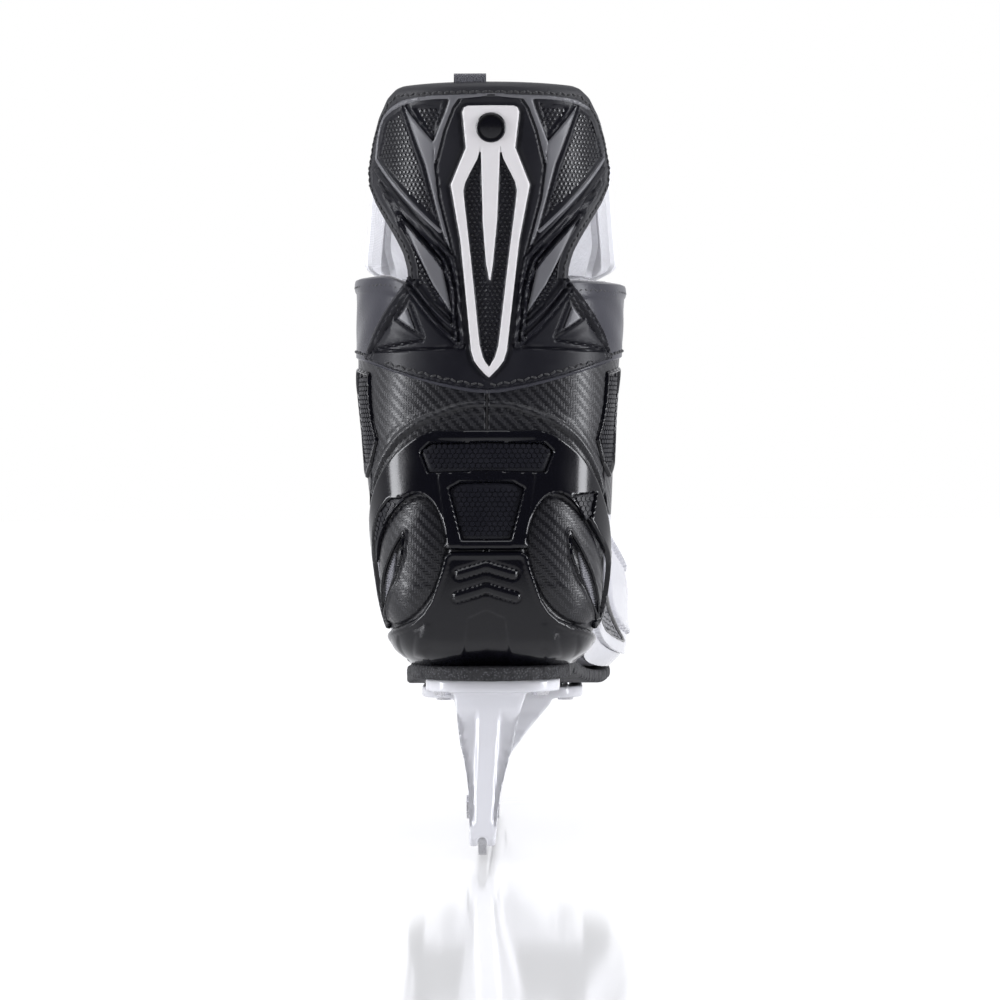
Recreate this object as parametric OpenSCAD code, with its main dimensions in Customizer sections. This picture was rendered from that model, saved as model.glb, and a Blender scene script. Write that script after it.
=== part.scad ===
/* [Boot] */
// Height of the collar edge above the ice
collar_z = 209; // [205:1:213]
// Height of the top of the tendon guard above the ice
guard_top_z = 281; // [272:1:284]
// Thickness of the moulded outer shell panels
shell_t = 2.6; // [1.8:0.1:3.0]
// Thickness of the lining that faces the foot
lining_t = 2.4; // [1.6:0.1:3.0]
// Extra foam thickness over the ankle bones
ankle_pad_t = 6; // [3:0.5:8]

/* [Sole] */
// Height of the boot's base at the ball of the foot
sole_front_z = 57; // [55:0.5:58]
// Height of the boot's base at the heel
sole_heel_z = 70; // [68:0.5:70.5]
// Thickness of the outsole
outsole_t = 4.2; // [4:0.1:6]

/* [Holder] */
// Thickness of the flanges that are riveted to the outsole
flange_t = 4.6; // [3.8:0.1:5]
// Width of the rail that grips the runner
rail_w = 9.4; // [8.6:0.2:10]
// Height at which the rail's underside sits above the ice
rail_bottom_z = 8.6; // [8:0.2:10]
// Height of the rail's top between the towers
rail_top_z = 26; // [24:0.5:28]

/* [Runner] */
// Thickness of the steel runner
runner_t = 3; // [2.8:0.1:3.2]
// Radius of the rocker at both ends of the flat
rocker_r = 3000; // [2400:100:4000]
// Radius of the two cross bolts that hold the runner
bolt_r = 2.5; // [2:0.1:3]

/* [Lacing] */
// Eyelets on each side
eyelet_count = 10; // [8:1:11]
// Width of the flat lace
lace_w = 7; // [5:0.5:8]
// Thickness of the lace
lace_t = 1.1; // [0.9:0.1:1.2]
// Outer radius of an eyelet
eyelet_r = 4.4; // [4:0.1:5]

/* [Joints] */
// Height of the line at which the tendon guard and the tongue bend
flex_z = 210; // [209:0.5:212]

/* [Hidden] */

gap = 0.3;               // clearance between stacked pieces
lining_gap = 1.1;        // glue layer between the shell and the lining
flex_gap = 0.6;          // half the slit at the line where the guard bends
flat_half = 30;          // half length of the runner's flat
fit = 0.1;               // clearance round pins and in slots
seat = 0.1;              // pieces laid on the shell stand this far off it

// ---- The last: a tube of sections that fan round the instep -------------------------------
// Control sections of a cubic B-spline, from the toe tip to the top of the tendon guard.
// Each is [y, z at the sole or back, y, z at the top or front, share of the depth at which it
// is widest, half width to the outside, to the inside, squareness behind, squareness in front].
LAST = [
    [148, 80, 148, 80, 0.50, 0, 0, 2.4, 2.2],
    [148, 68, 148, 91, 0.50, 17, 15, 2.6, 2.2],
    [145, 60, 143, 104, 0.45, 34, 29, 3.4, 2.2],
    [134, 57, 129, 115, 0.42, 44, 37, 4.6, 2.3],
    [112, 57, 107, 121, 0.42, 49, 41, 5.5, 2.3],
    [84, 57.5, 82, 126, 0.42, 51.5, 42, 5.8, 2.3],
    [54, 58, 60, 134, 0.42, 49.5, 41, 5.6, 2.3],
    [22, 60, 38, 145, 0.42, 43, 39, 5.2, 2.3],
    [-12, 63.2, 16, 160, 0.43, 39, 38, 4.8, 2.3],
    [-48, 67.2, -5, 177, 0.45, 40, 39, 4.8, 2.3],
    [-84, 69.7, -20, 192, 0.46, 41.5, 38.5, 4.8, 2.3],
    [-113, 70.2, -29, 202, 0.47, 42.8, 38.8, 4.6, 2.3],
    [-132, 72.5, -33, 208, 0.48, 44.5, 40.6, 4.2, 2.3],
    [-141.5, 82, -35, 212, 0.48, 45.6, 42, 3.6, 2.3],
    [-145.5, 96, -36, 215, 0.48, 46.5, 44.4, 3, 2.3],
    [-145.5, 113, -37, 218, 0.48, 46.5, 46.4, 2.6, 2.3],
    [-142, 132, -37.5, 222, 0.48, 47.5, 48.5, 2.4, 2.3],
    [-137, 151, -37.5, 226, 0.48, 49, 49, 2.4, 2.3],
    [-133.5, 169, -37, 231, 0.48, 50, 49, 2.4, 2.3],
    [-132.5, 187, -35, 236, 0.48, 50, 49, 2.4, 2.3],
    [-133.5, 205, -33, 243, 0.48, 49, 48, 2.4, 2.3],
    [-135, 224, -30, 251, 0.48, 48, 47, 2.4, 2.3],
    [-136.5, 243, -27, 260, 0.48, 47.5, 46.5, 2.4, 2.3],
    [-138, 262, -23, 270, 0.48, 47.5, 46.5, 2.4, 2.3],
    [-139.5, 281, -18, 284, 0.48, 48, 47, 2.4, 2.3],
    [-141, 300, -14, 300, 0.48, 48, 47, 2.4, 2.3]
];
last_n = len(LAST) - 1;

function mix(a, b, t) = a + (b - a) * t;
function clamp(x, a, b) = max(a, min(b, x));
function smooth(t) = let (c = clamp(t, 0, 1)) c * c * (3 - 2 * c);

function section_at(k) =
    k < 0 ? 2 * LAST[0] - LAST[1] : k > last_n ? 2 * LAST[last_n] - LAST[last_n - 1] : LAST[k];

// One blended section of the last, at place u along it.
function section(u) =
    let (c = clamp(u, 0, last_n - 0.0001), i = floor(c), f = c - i)
    (pow(1 - f, 3) * section_at(i - 1) + (3 * pow(f, 3) - 6 * f * f + 4) * section_at(i)
        + (3 * f * f + 3 * f + 1 - 3 * pow(f, 3)) * section_at(i + 1)
        + pow(f, 3) * section_at(i + 2)) / 6;

// The boot leans over the outside of the foot: how far its middle is from the runner's plane.
function middle_x(y, z) = 2 + (z - 64) * 0.004 + 4.5 * smooth((y + 70) / 170);

// A point on the outer surface. Angle 0 is the sole or back, 90 the outside, 180 the instep,
// and negative angles are on the inside of the foot.
function last_point(u, angle) =
    let (
        q = section(u),
        a = angle > 180 ? angle - 360 : angle < -180 ? angle + 360 : angle,
        behind = abs(a) <= 90,
        power = 2 / (behind ? q[7] : q[8]),
        across = pow(abs(sin(a)), power),
        along = pow(abs(cos(a)), power),
        t = behind ? q[4] * (1 - along) : q[4] + (1 - q[4]) * along,
        y = mix(q[0], q[2], t),
        z = mix(q[1], q[3], t)
    )
    [middle_x(y, z) + sign(a) * (a >= 0 ? q[5] : q[6]) * across, y, z];

function unit(v) = v / max(norm(v), 0.000001);

// The outward normal of that surface.
function last_normal(u, angle) =
    let (
        du = 0.06, da = 1.5,
        n = unit(cross(last_point(u + du, angle) - last_point(max(u - du, 0), angle),
            last_point(u, angle + da) - last_point(u, angle - da))),
        q = section(u),
        core = [middle_x(q[0], q[1]), mix(q[0], q[2], q[4]), mix(q[1], q[3], q[4])]
    )
    n * (last_point(u, angle) - core) < 0 ? -n : n;

function skin(u, angle, t) = last_point(u, angle) + t * last_normal(u, angle);

// The place u at which the surface reaches height z, for a given angle.
function u_at_z(z, angle, low = 9, high = last_n, steps = 16) =
    steps == 0 ? (low + high) / 2
    : let (u = (low + high) / 2)
        last_point(u, angle)[2] < z ? u_at_z(z, angle, u, high, steps - 1)
        : u_at_z(z, angle, low, u, steps - 1);

// ---- Panels: patches of that surface with a thickness -------------------------------------
function at(v, a, b) = is_function(v) ? v(a, b) : v;

// place(a, b) gives [u, angle] for a and b from 0 to 1. The panel fills from depth low to high.
module panel(place, rows, columns, low, high) {
    inner = [for (i = [0:rows], j = [0:columns])
        let (a = i / rows, b = j / columns, q = place(a, b)) skin(q[0], q[1], at(low, a, b))];
    outer = [for (i = [0:rows], j = [0:columns])
        let (a = i / rows, b = j / columns, q = place(a, b)) skin(q[0], q[1], at(high, a, b))];
    slab(inner, outer, rows, columns);
}

// A closed solid between two grids of points.
module slab(inner, outer, rows, columns) {
    w = columns + 1;
    n = (rows + 1) * w;
    mid = floor(rows / 2) * w + floor(columns / 2);
    turned = cross(outer[mid + w] - outer[mid], outer[mid + 1] - outer[mid])
        * (outer[mid] - inner[mid]) < 0;
    sheets = [for (i = [0:rows - 1], j = [0:columns - 1])
        let (p = i * w + j)
        each [[p, p + w, p + 1], [p + 1, p + w, p + w + 1],
            [n + p, n + p + 1, n + p + w], [n + p + 1, n + p + w + 1, n + p + w]]];
    rim = concat(
        [for (j = [0:columns - 1]) [j, j + 1]],
        [for (i = [0:rows - 1]) [i * w + columns, (i + 1) * w + columns]],
        [for (j = [columns:-1:1]) [rows * w + j, rows * w + j - 1]],
        [for (i = [rows:-1:1]) [i * w, (i - 1) * w]]);
    walls = [for (e = rim) each [[e[0], e[1], n + e[1]], [e[0], n + e[1], n + e[0]]]];
    faces = concat(sheets, walls);
    polyhedron(concat(inner, outer),
        turned ? [for (f = faces) [f[2], f[1], f[0]]] : faces, convexity = 10);
}

// Angle at which a piece on the back reaches a distance x from the middle.
function back_angle(x, half = 47.5) = asin(pow(clamp(x / half, 0, 0.999), 1.2));

// ---- Lines that the panels meet on -------------------------------------------------------
// Edge of the throat, where the lacing opens the boot.
THROAT = [[4.3, 172], [5, 163], [6, 157], [7.5, 152], [9, 149], [11, 146], [13, 143], [16, 140]];
function throat(u) = lookup(u, THROAT);
// Edge where the panels end under the foot, on the outsole.
SOLE_EDGE = [[6, 28], [10, 20], [11, 16], [11.4, 9], [11.55, 0.3]];
function sole_edge(u) = lookup(u, SOLE_EDGE);
SOLE_U = [[0, 11.55], [9, 11.4], [16, 11], [20, 10]];
// Border between the white front panels and the black counter: place along the last.
BORDER = [[20, 10], [30, 10.5], [45, 10.9], [56, 11.5], [60, 12.3], [63, 14.6], [66, 14.4], [90, 12.5],
    [120, 10.7], [146, 9.2]];
function border(angle) = lookup(angle, BORDER);
// Angles of the columns that the panels on both sides of that border share.
COLUMNS = [20, 26, 30, 35, 40, 45, 49, 53, 56, 58, 60, 61.5, 63, 64.5, 66, 70, 76, 83, 90,
    98, 106, 113, 120, 126, 132, 138, 143, 146, 149];
HEEL_COLUMNS = concat([0.35, 5, 10, 15], [for (k = [0:len(COLUMNS) - 2]) COLUMNS[k]]);
function pick(list, b) = list[round(b * (len(list) - 1))];
// Stitched line where the collar panel overlaps the counter.
function seam_z(angle) = 170.8 + 13.5 * pow(sin(min(abs(angle), 90)), 1.2)
    + max(abs(angle) - 90, 0) * 0.08;
toe_border = 4.1;        // place of the toe cap's rear edge at the sole
function toe_edge(angle) = toe_border + 0.3 * pow(sin(angle / 2), 6);
// Upper edge of the moulded heel cap.
CAP_Z = [[0, 111], [12, 111], [17, 100], [22, 91], [30, 87], [45, 84], [56, 81.5], [62, 80]];
function cap_z(angle) = lookup(abs(angle), CAP_Z);
// Lower and upper edge of the cage that grips the heel and arches over both sides.
CAGE_LOW = [[0, 113], [11, 113.5], [15, 123], [19, 131], [24, 133], [31, 131.5], [39, 127],
    [45, 122], [51, 116], [55, 111], [59, 106]];
CAGE_HIGH = [[0, 155], [14, 154], [27, 149], [36, 143], [44, 136.6], [51, 128], [56, 118], [59, 109]];

// Outline of the tendon guard: [height below its top, half width].
GUARD = [[0, 16], [1, 27], [2.6, 33.5], [5, 36.6], [10, 39.6], [18, 42], [29, 43.9],
    [36, 43.4], [42, 41], [48, 37.6], [54, 34], [60, 30.8], [66, 29], [72, 28.6]];
function guard_half(z) = lookup(guard_top_z - z, GUARD);
function guard_place(z, b, inset = 0) =
    let (angle = back_angle(guard_half(z) - inset) * (2 * b - 1))
    [u_at_z(z, angle), angle];

// ---- Sole outline ------------------------------------------------------------------------
function sole_z(y) = mix(sole_front_z, sole_heel_z, smooth((70 - y) / 170));
SOLE_HALF = [[-138, 29.6], [-108, 29.6], [-60, 31], [0, 34], [50, 40.5], [90, 43], [143, 43]];
function sole_middle(y) = 3.2 + 4 * smooth((y + 70) / 170);
function sole_half(y) =
    lookup(y, SOLE_HALF)
    * (y < -108 ? sqrt(max(1 - pow((-108 - y) / 30, 2), 0)) : 1)
    * (y > 95 ? pow(max(1 - pow((y - 95) / 48, 2.3), 0), 1 / 2.3) : 1);

// Stations are closer together where the ends turn.
SOLE_Y = concat([for (a = [0:15:90]) -108 - 30 * cos(a)], [for (y = [-90:20:90]) y],
    [for (a = [15:15:90]) 95 + 48 * sin(a)]);
module sole_plan() polygon(concat(
    [for (y = SOLE_Y) [sole_middle(y) + sole_half(y), y]],
    [for (i = [len(SOLE_Y) - 2:-1:1]) let (y = SOLE_Y[i]) [sole_middle(y) - sole_half(y), y]]));

// A plate that follows the pitch of the sole between two heights above it.
module sole_plate(low, high, inset = 0) {
    ys = [for (y = [-150:12:150]) y];
    intersection() {
        translate([0, 0, 20]) linear_extrude(90) offset(delta = -inset) sole_plan();
        rotate([90, 0, 90]) translate([0, 0, -70]) linear_extrude(140)
            polygon(concat([for (y = ys) [y, sole_z(y) + low]],
                [for (i = [len(ys) - 1:-1:0]) [ys[i], sole_z(ys[i]) + high]]));
    }
}

// ---- Fasteners of the holder -------------------------------------------------------------
front_seat_y = 82;       // middle of the front flange
rear_seat_y = -96;       // middle of the rear flange
// Rivets through flange, outsole and insole board: [x, y].
RIVETS_FRONT = [[-18.8, 50], [31, 50], [-18.8, 82], [31, 82], [-18.8, 112], [31, 112]];
RIVETS_REAR = [[-14.6, -112], [21, -112], [-14.6, -80], [21, -80]];
board_t = 2;             // thickness of the insole board
board_low = shell_t + 1.8;  // height of the board above the sole's top
rivet_r = 2.1;
rivet_head_r = 3.8;
rivet_face_r = 3;        // the head narrows to this at its face
rivet_head_h = 1.5;
rivet_over = 1.4;        // how far a rivet stands out of the board
washer_r = 4.6;
washer_t = 0.9;
BOLTS = [[-104, 17.5], [102, 17.5]];   // [y, z] of the two cross bolts
bolt_web = 3.4;          // half the rail left between the two recesses
recess_r = 4.6;          // recesses for the bolt heads and nuts
head_r = 4.3;            // bolt heads and nuts
head_h = 2.2;
socket_r = 1.8;
runner_top_z = 21;

module at_rivets(places) {
    for (p = places) translate([p[0], p[1], 0]) children();
}

module rivet_holes(places, r = rivet_r + fit) {
    at_rivets(places) translate([0, 0, 30]) cylinder(h = 60, r = r, $fn = 24);
}

// Height of the flange's underside, which is level under each end of the boot.
function flange_low(y) = sole_z(y > 0 ? front_seat_y : rear_seat_y) - outsole_t - flange_t;

// ---- Runner and holder -------------------------------------------------------------------
function rocker_z(y) = y <= flat_half ? 0 : pow(y - flat_half, 2) / (2 * rocker_r);

runner_end = 118;        // the rocker ends here, and the edge turns up
heel_turn = 9;           // radius of the upturned heel
toe_turn = 24;           // radius of the upturned toe

module runner() {
    end_z = rocker_z(runner_end);
    lift = [for (y = [flat_half:11:runner_end]) [y, rocker_z(y)]];
    heel = [for (a = [15:15:75]) [-runner_end - heel_turn * sin(a), end_z + heel_turn * (1 - cos(a))]];
    toe = [for (a = [10:10:60]) [runner_end + toe_turn * sin(a), end_z + toe_turn * (1 - cos(a))]];
    color([0.72, 0.72, 0.74])
    rotate([90, 0, 90]) translate([0, 0, -runner_t / 2]) difference() {
        linear_extrude(runner_t) polygon(concat(
            [for (i = [len(heel) - 1:-1:0]) heel[i]],
            [for (i = [len(lift) - 1:-1:0]) [-lift[i][0], lift[i][1]]],
            lift, toe,
            [[139.5, runner_top_z], [-126.9, runner_top_z]]));
        for (b = BOLTS) translate([b[0], b[1], -1])
            cylinder(h = runner_t + 2, r = bolt_r + fit, $fn = 32);
    }
}

// Side view of the holder: rear tower, front tower and the rail between them.
module holder_side() {
    front = flange_low(front_seat_y) + 0.5;
    rear = flange_low(rear_seat_y) + 0.5;
    polygon([[-131, 8], [-129, 5.4], [-116, 5.6], [-106, rail_bottom_z], [120, rail_bottom_z], [132, 9.6],
        [140, 12], [143.5, 18], [143, rail_top_z], [139, 36], [131, 46], [128, front],
        [30, front], [32, 43], [30, 35], [22, 29], [8, rail_top_z],
        [-52, rail_top_z], [-63, 28], [-69, 36], [-69, 48], [-65, rear],
        [-124, rear], [-125, 50], [-129, 30], [-131, 14]]);
}

// Section of the towers seen from behind: [height, middle, half width].
REAR_TOWER = [[5, 0, rail_w / 2], [17, 0.4, rail_w / 2 + 0.4], [25, 0.9, 5.8], [31, 1.3, 6.9], [37, 1.6, 8.2],
    [43, 1.7, 9.8], [49, 2, 10.8], [55, 2.4, 11.8], [58, 2.7, 12.6], [62.5, 2.9, 13.8]];
FRONT_TOWER = [[5, 0, rail_w / 2], [17, 0.4, rail_w / 2 + 0.4], [25, 1, 6.5], [31, 2, 10.5], [37, 3.2, 14],
    [43, 4.6, 17.8], [46, 5.4, 19.4], [49, 5.6, 20]];

module funnel(tower) {
    n = len(tower) - 1;
    polygon(concat([for (q = tower) [q[1] + q[2], q[0]]],
        [for (i = [n:-1:0]) [tower[i][1] - tower[i][2], tower[i][0]]]));
}

module tower(y0, y1, sections) {
    intersection() {
        rotate([90, 0, 90]) translate([0, 0, -50]) linear_extrude(100) holder_side();
        translate([0, y1, 0]) rotate([90, 0, 0]) linear_extrude(y1 - y0) funnel(sections);
    }
}

module flange(y0, y1, middle, half, low) {
    r = 14;
    translate([middle, 0, low]) linear_extrude(flange_t) hull()
        for (x = [-1, 1], y = [y0 + r, y1 - r]) translate([x * (half - r), y]) circle(r, $fn = 48);
}

module holder() {
    color([0.93, 0.93, 0.95]) difference() {
        union() {
            tower(-135, -20, REAR_TOWER);
            tower(-20, 150, FRONT_TOWER);
            flange(-127, -64, 3.8, 24.6, flange_low(rear_seat_y));
            flange(30, 130, 5.2, 33, flange_low(front_seat_y));
        }
        slot_w = runner_t + 2 * fit;
        translate([-slot_w / 2, -128, 0]) cube([slot_w, 269, runner_top_z + gap]);
        // The slot is open behind, so the runner's heel shows.
        translate([-slot_w / 2, -140, 0]) cube([slot_w, 20, 9]);
        for (b = BOLTS) translate([0, b[0], b[1]]) rotate([0, 90, 0]) {
            cylinder(h = 40, r = bolt_r + fit, center = true, $fn = 32);
            translate([0, 0, bolt_web]) cylinder(h = 20, r = recess_r, $fn = 32);
            translate([0, 0, -bolt_web - 20]) cylinder(h = 20, r = recess_r, $fn = 32);
        }
        rivet_holes(concat(RIVETS_FRONT, RIVETS_REAR));
    }
}

// Cross bolts: a button head on the outside of the foot, a sleeve nut on the inside.
module runner_bolts() {
    color([0.6, 0.6, 0.62]) for (b = BOLTS) translate([bolt_web + gap, b[0], b[1]]) rotate([0, 90, 0])
        difference() {
            union() {
                cylinder(h = head_h, r = head_r, $fn = 32);
                translate([0, 0, -6.6]) cylinder(h = 6.7, r = bolt_r, $fn = 32);
            }
            translate([0, 0, 1]) cylinder(h = 2, r = socket_r, $fn = 6);
        }
}

module runner_nuts() {
    color([0.6, 0.6, 0.62]) for (b = BOLTS) translate([-bolt_web - gap, b[0], b[1]])
        rotate([0, -90, 0]) difference() {
            cylinder(h = head_h + 0.2, r = head_r, $fn = 6);
            translate([0, 0, -0.1]) cylinder(h = 1.6, r = bolt_r + 0.05, $fn = 32);
        }
}

// ---- Rivets ------------------------------------------------------------------------------
function rivet_top(y) = sole_z(y) + board_low + board_t + 0.2;

module rivets(places) {
    color([0.7, 0.7, 0.72]) for (p = places) let (low = flange_low(p[1]) - gap)
        translate([p[0], p[1], 0]) union() {
            translate([0, 0, low]) cylinder(h = rivet_top(p[1]) + rivet_over - low, r = rivet_r, $fn = 24);
            translate([0, 0, low - rivet_head_h])
                cylinder(h = rivet_head_h, r1 = rivet_face_r, r2 = rivet_head_r, $fn = 24);
        }
}

module rivet_washers() {
    color([0.75, 0.75, 0.77]) for (p = concat(RIVETS_FRONT, RIVETS_REAR))
        translate([p[0], p[1], rivet_top(p[1]) + 0.2]) difference() {
            cylinder(h = washer_t, r = washer_r, $fn = 24);
            translate([0, 0, -1]) cylinder(h = 3, r = rivet_r + fit, $fn = 24);
        }
}

// ---- Sole stack --------------------------------------------------------------------------
module outsole() {
    color([0.07, 0.07, 0.08]) difference() {
        sole_plate(-outsole_t, -gap);
        rivet_holes(concat(RIVETS_FRONT, RIVETS_REAR));
        // Flat seats for the holder's flanges.
        for (s = [[-135, -56], [24, 136]])
            translate([-60, s[0], 20]) cube([120, s[1] - s[0], flange_low(s[0]) + flange_t + seat - 20]);
    }
}

board_edge = 7.5;        // the board lies this far inside the outsole's edge
footbed_edge = 10.5;
footbed_t = 3.4;

module insole_board() {
    color([0.45, 0.36, 0.26]) difference() {
        intersection() {
            sole_plate(board_low, board_low + board_t, board_edge);
            translate([0, 6, 20]) linear_extrude(90) offset(delta = -board_edge) sole_plan();
            translate([-22.6, -200, 20]) cube([90, 400, 90]);
        }
        rivet_holes(concat(RIVETS_FRONT, RIVETS_REAR));
    }
}

module footbed() {
    low = board_low + board_t + 2;
    color([0.2, 0.2, 0.22]) sole_plate(low, low + footbed_t, footbed_edge);
}

// ---- Shell -------------------------------------------------------------------------------
module toe_cap() {
    color([0.06, 0.06, 0.07]) panel(function (a, b)
        let (edge = mix(3, 28, smooth(a * 2)), angle = mix(edge, 360 - edge, b))
        [mix(0.02, toe_edge(angle), a), angle], 9, 28, -shell_t, 0.9);
}

module toe_lining() {
    color([0.3, 0.3, 0.32]) panel(function (a, b) [mix(1.2, 4.25, a), mix(56, 304, b)],
        6, 18, -shell_t - lining_gap - lining_t, -shell_t - lining_gap);
}

// White moulded front quarter, which rises to a point behind the ankle.
module vamp(side) {
    color([0.93, 0.93, 0.95]) panel(function (a, b)
        let (
            base = pick(COLUMNS, b),
            u0 = mix(toe_edge(base) + 0.03, border(base) - 0.03, a),
            angle = base + max(sole_edge(u0) - COLUMNS[0], 0) * pow(1 - b, 4)
                + (max(throat(u0), 149) - 149) * pow(b, 5),
            u = mix(toe_edge(angle) + 0.03, border(base) - 0.03, a)
        )
        [u, side * min(angle, throat(u))], 14, len(COLUMNS) - 1, -shell_t, -gap);
}

module counter(side) {
    color([0.09, 0.09, 0.1]) panel(function (a, b)
        let (
            angle = pick(HEEL_COLUMNS, b),
            low = angle < COLUMNS[0] ? lookup(angle, SOLE_U) + 0.02 : border(angle) + 0.01,
            top = u_at_z(seam_z(angle), angle) - 0.03
        )
        [mix(low, max(top, low + 0.3), a), side * min(angle, throat(low))],
        12, len(HEEL_COLUMNS) - 1, -shell_t, -gap);
}

module heel_cap() {
    color([0.04, 0.04, 0.05]) panel(function (a, b)
        let (angle = mix(-62, 62, b), low = u_at_z(72.8, angle, 9, 14))
        [mix(low, u_at_z(cap_z(angle), angle), a), angle],
        7, 28, seat, 1.7);
}

// Glossy cage that stands proud of the counter.
module heel_cage() {
    color([0.04, 0.04, 0.05]) panel(function (a, b)
        let (angle = mix(-59, 59, b),
            z = mix(lookup(abs(angle), CAGE_LOW), lookup(abs(angle), CAGE_HIGH), a))
        [u_at_z(z, angle), angle], 3, 44, seat, 1.3);
}

module cuff(side) {
    color([0.12, 0.12, 0.14]) panel(function (a, b)
        let (angle = mix(0.35, 140, b), top = collar_z + 2 * smooth((angle - 100) / 40))
        [u_at_z(mix(seam_z(angle) + 0.1, top, a), angle), side * angle],
        4, 18, -shell_t, -gap);
}

// ---- Tendon guard ------------------------------------------------------------------------
guard_t = 2.3;           // thickness of the moulded face
guard_depth = 7;         // how far the padding reaches inwards
module guard_skirt() {
    color([0.08, 0.08, 0.09]) panel(function (a, b)
        let (angle = back_angle(mix(43, guard_half(flex_z), pow(a, 0.8)), 49) * (2 * b - 1),
            z = mix(seam_z(angle) + 1, flex_z - flex_gap, a))
        [u_at_z(z, angle), angle], 5, 20, seat, 2);
}

module tendon_guard() {
    color([0.08, 0.08, 0.09]) panel(function (a, b)
        guard_place(mix(flex_z + flex_gap, guard_top_z - 4.5, a), b, 2.6), 18, 14, seat, seat + guard_t);
}

module guard_padding() {
    color([0.1, 0.1, 0.11]) panel(function (a, b)
        guard_place(mix(flex_z + flex_gap, guard_top_z - 2.2, 1 - pow(1 - a, 1.3)), b, 2.2),
        18, 14, -guard_depth, -seat);
}

// Fabric tape folded over the flap's edge.
module guard_binding() {
    steps = 26;
    zs = [for (i = [0:steps]) flex_z + 6 + (guard_top_z - 0.9 - flex_z - 6) * sin(90 * i / steps)];
    path = concat([for (z = zs) [z, 1]], [for (i = [1:11]) [guard_top_z - 0.9, 1 - i / 12]],
        [for (i = [steps:-1:0]) [zs[i], 0]]);
    n = len(path) - 1;
    function edge(k, inset, t) = let (q = guard_place(path[k][0], path[k][1], inset),
        p = skin(q[0], q[1], t), top = clamp((path[k][0] - guard_top_z + 3) / 2.1, 0, 1))
        p + [0, 0, top * (0.9 - inset * 0.8)];
    color([0.05, 0.05, 0.06]) slab(
        [for (t = [-guard_depth, -guard_depth / 2, -seat], k = [0:n]) edge(k, 1, t)],
        [for (t = [-guard_depth, -guard_depth / 2, -seat], k = [0:n]) edge(k, 0, t)], 2, n);
}

// White raised frame on the guard, and its point on the skirt: half width at each height.
FRAME_OUT = [[275, 11], [272, 13.3], [262, 12.4], [255, 11.2], [241, 18], [209, 12.6], [180, 6.4],
    [168.5, 0.4]];
module inlay(z0, z1, rows) {
    color([0.9, 0.89, 0.9]) panel(function (a, b)
        let (z = mix(z0, z1, a), angle = back_angle(lookup(z, FRAME_OUT)) * (2 * b - 1))
        [u_at_z(z, angle), angle], rows, 6, 2.5, 3.1);
}
module guard_inlay() inlay(flex_z + flex_gap, 275, 12);
module guard_inlay_tip() inlay(173, flex_z - flex_gap, 6);

// Plain round stud in the head of the frame.
module guard_stud() {
    q = guard_place(265.3, 0.5);
    c = skin(q[0], q[1], 3.2);
    color([0.03, 0.03, 0.03]) translate(c) rotate([90, 0, 0]) translate([0, 0, 0.5])
        cylinder(h = 1, r = 5.2, $fn = 48);
}

// Webbing loop sewn between the flap and its padding.
module pull_loop() {
    w = 11.6;
    y0 = skin(guard_place(guard_top_z - 1, 0.45)[0], 0, -3.5)[1];
    color([0.2, 0.2, 0.23]) translate([-5.8 - w / 2 + 2.6, y0 - 1.6, guard_top_z + 0.5])
        difference() {
            cube([w, 3.2, 3.4]);
            translate([-1, 1, -1]) cube([w + 2, 1.2, 3.4]);
        }
}

// ---- Inside ------------------------------------------------------------------------------
module lining(side) {
    low = -shell_t - lining_gap - lining_t;
    color([0.25, 0.25, 0.27]) panel(function (a, b)
        let (angle = mix(3, 126, b), edge = lookup(angle, [[0, 13.1], [20, 12.4], [40, 11.3], [56, 4.6]]),
            top = u_at_z(collar_z - 1.5, angle))
        [mix(edge, top, a), side * angle], 18, 20, low, low + lining_t);
}

module ankle_pad(side) {
    base = -shell_t - 2.5 * lining_gap - lining_t;
    color([0.3, 0.3, 0.33]) panel(function (a, b)
        let (angle = mix(24, 112, b), z = mix(max(120, last_point(9.3, angle)[2]), 202, a))
        [u_at_z(z, angle), side * angle],
        9, 10, function (a, b) base - 0.8 - (ankle_pad_t - 0.8) * pow(sin(180 * a) * sin(180 * b), 0.8),
        base);
}

tongue_top = -4.2;       // depth of the tongue's face below the boot's surface
tongue_low = -8;
felt_t = 3.1;            // thickness of the felt on the tongue's back
function tongue_spread(u) = lookup(u, [[4.4, 12], [6, 30], [9, 40], [12, 47], [16, 50]]);

module tongue_lower() {
    color([0.9, 0.9, 0.92]) panel(function (a, b)
        let (v = (2 * b - 1) * 50, top = u_at_z(flex_z - 1.2, 180 - abs(v)),
            u = mix(4.45, top, a))
        [u, 180 + (2 * b - 1) * tongue_spread(u)], 16, 10, tongue_low, tongue_top);
}

function tongue_tip(b) = 266 - 9 * pow(abs(2 * b - 1), 3);
// Above the collar the tongue's sides spread outwards.
tongue_spring = 5;
function tongue_flare(a, b) = tongue_spring * smooth(a * 2.5) * pow(2 * b - 1, 4);
module tongue_upper() {
    color([0.9, 0.9, 0.92]) panel(function (a, b)
        let (angle = 180 + (2 * b - 1) * 76)
        [u_at_z(mix(flex_z + 1.5, tongue_tip(b), a), min(angle, 360 - angle)), angle],
        9, 16, function (a, b) tongue_low + tongue_flare(a, b),
        function (a, b) tongue_top + tongue_flare(a, b));
}

module tongue_felt() {
    color([0.78, 0.78, 0.8]) panel(function (a, b)
        let (angle = 180 + (2 * b - 1) * 70)
        [u_at_z(mix(flex_z + 3, tongue_tip(b) - 4, a), min(angle, 360 - angle)), angle],
        8, 12, function (a, b) tongue_low - 0.7 - felt_t + tongue_flare(a, b) * 0.7,
        function (a, b) tongue_low - 0.7 + tongue_flare(a, b) * 0.7);
}

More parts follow.
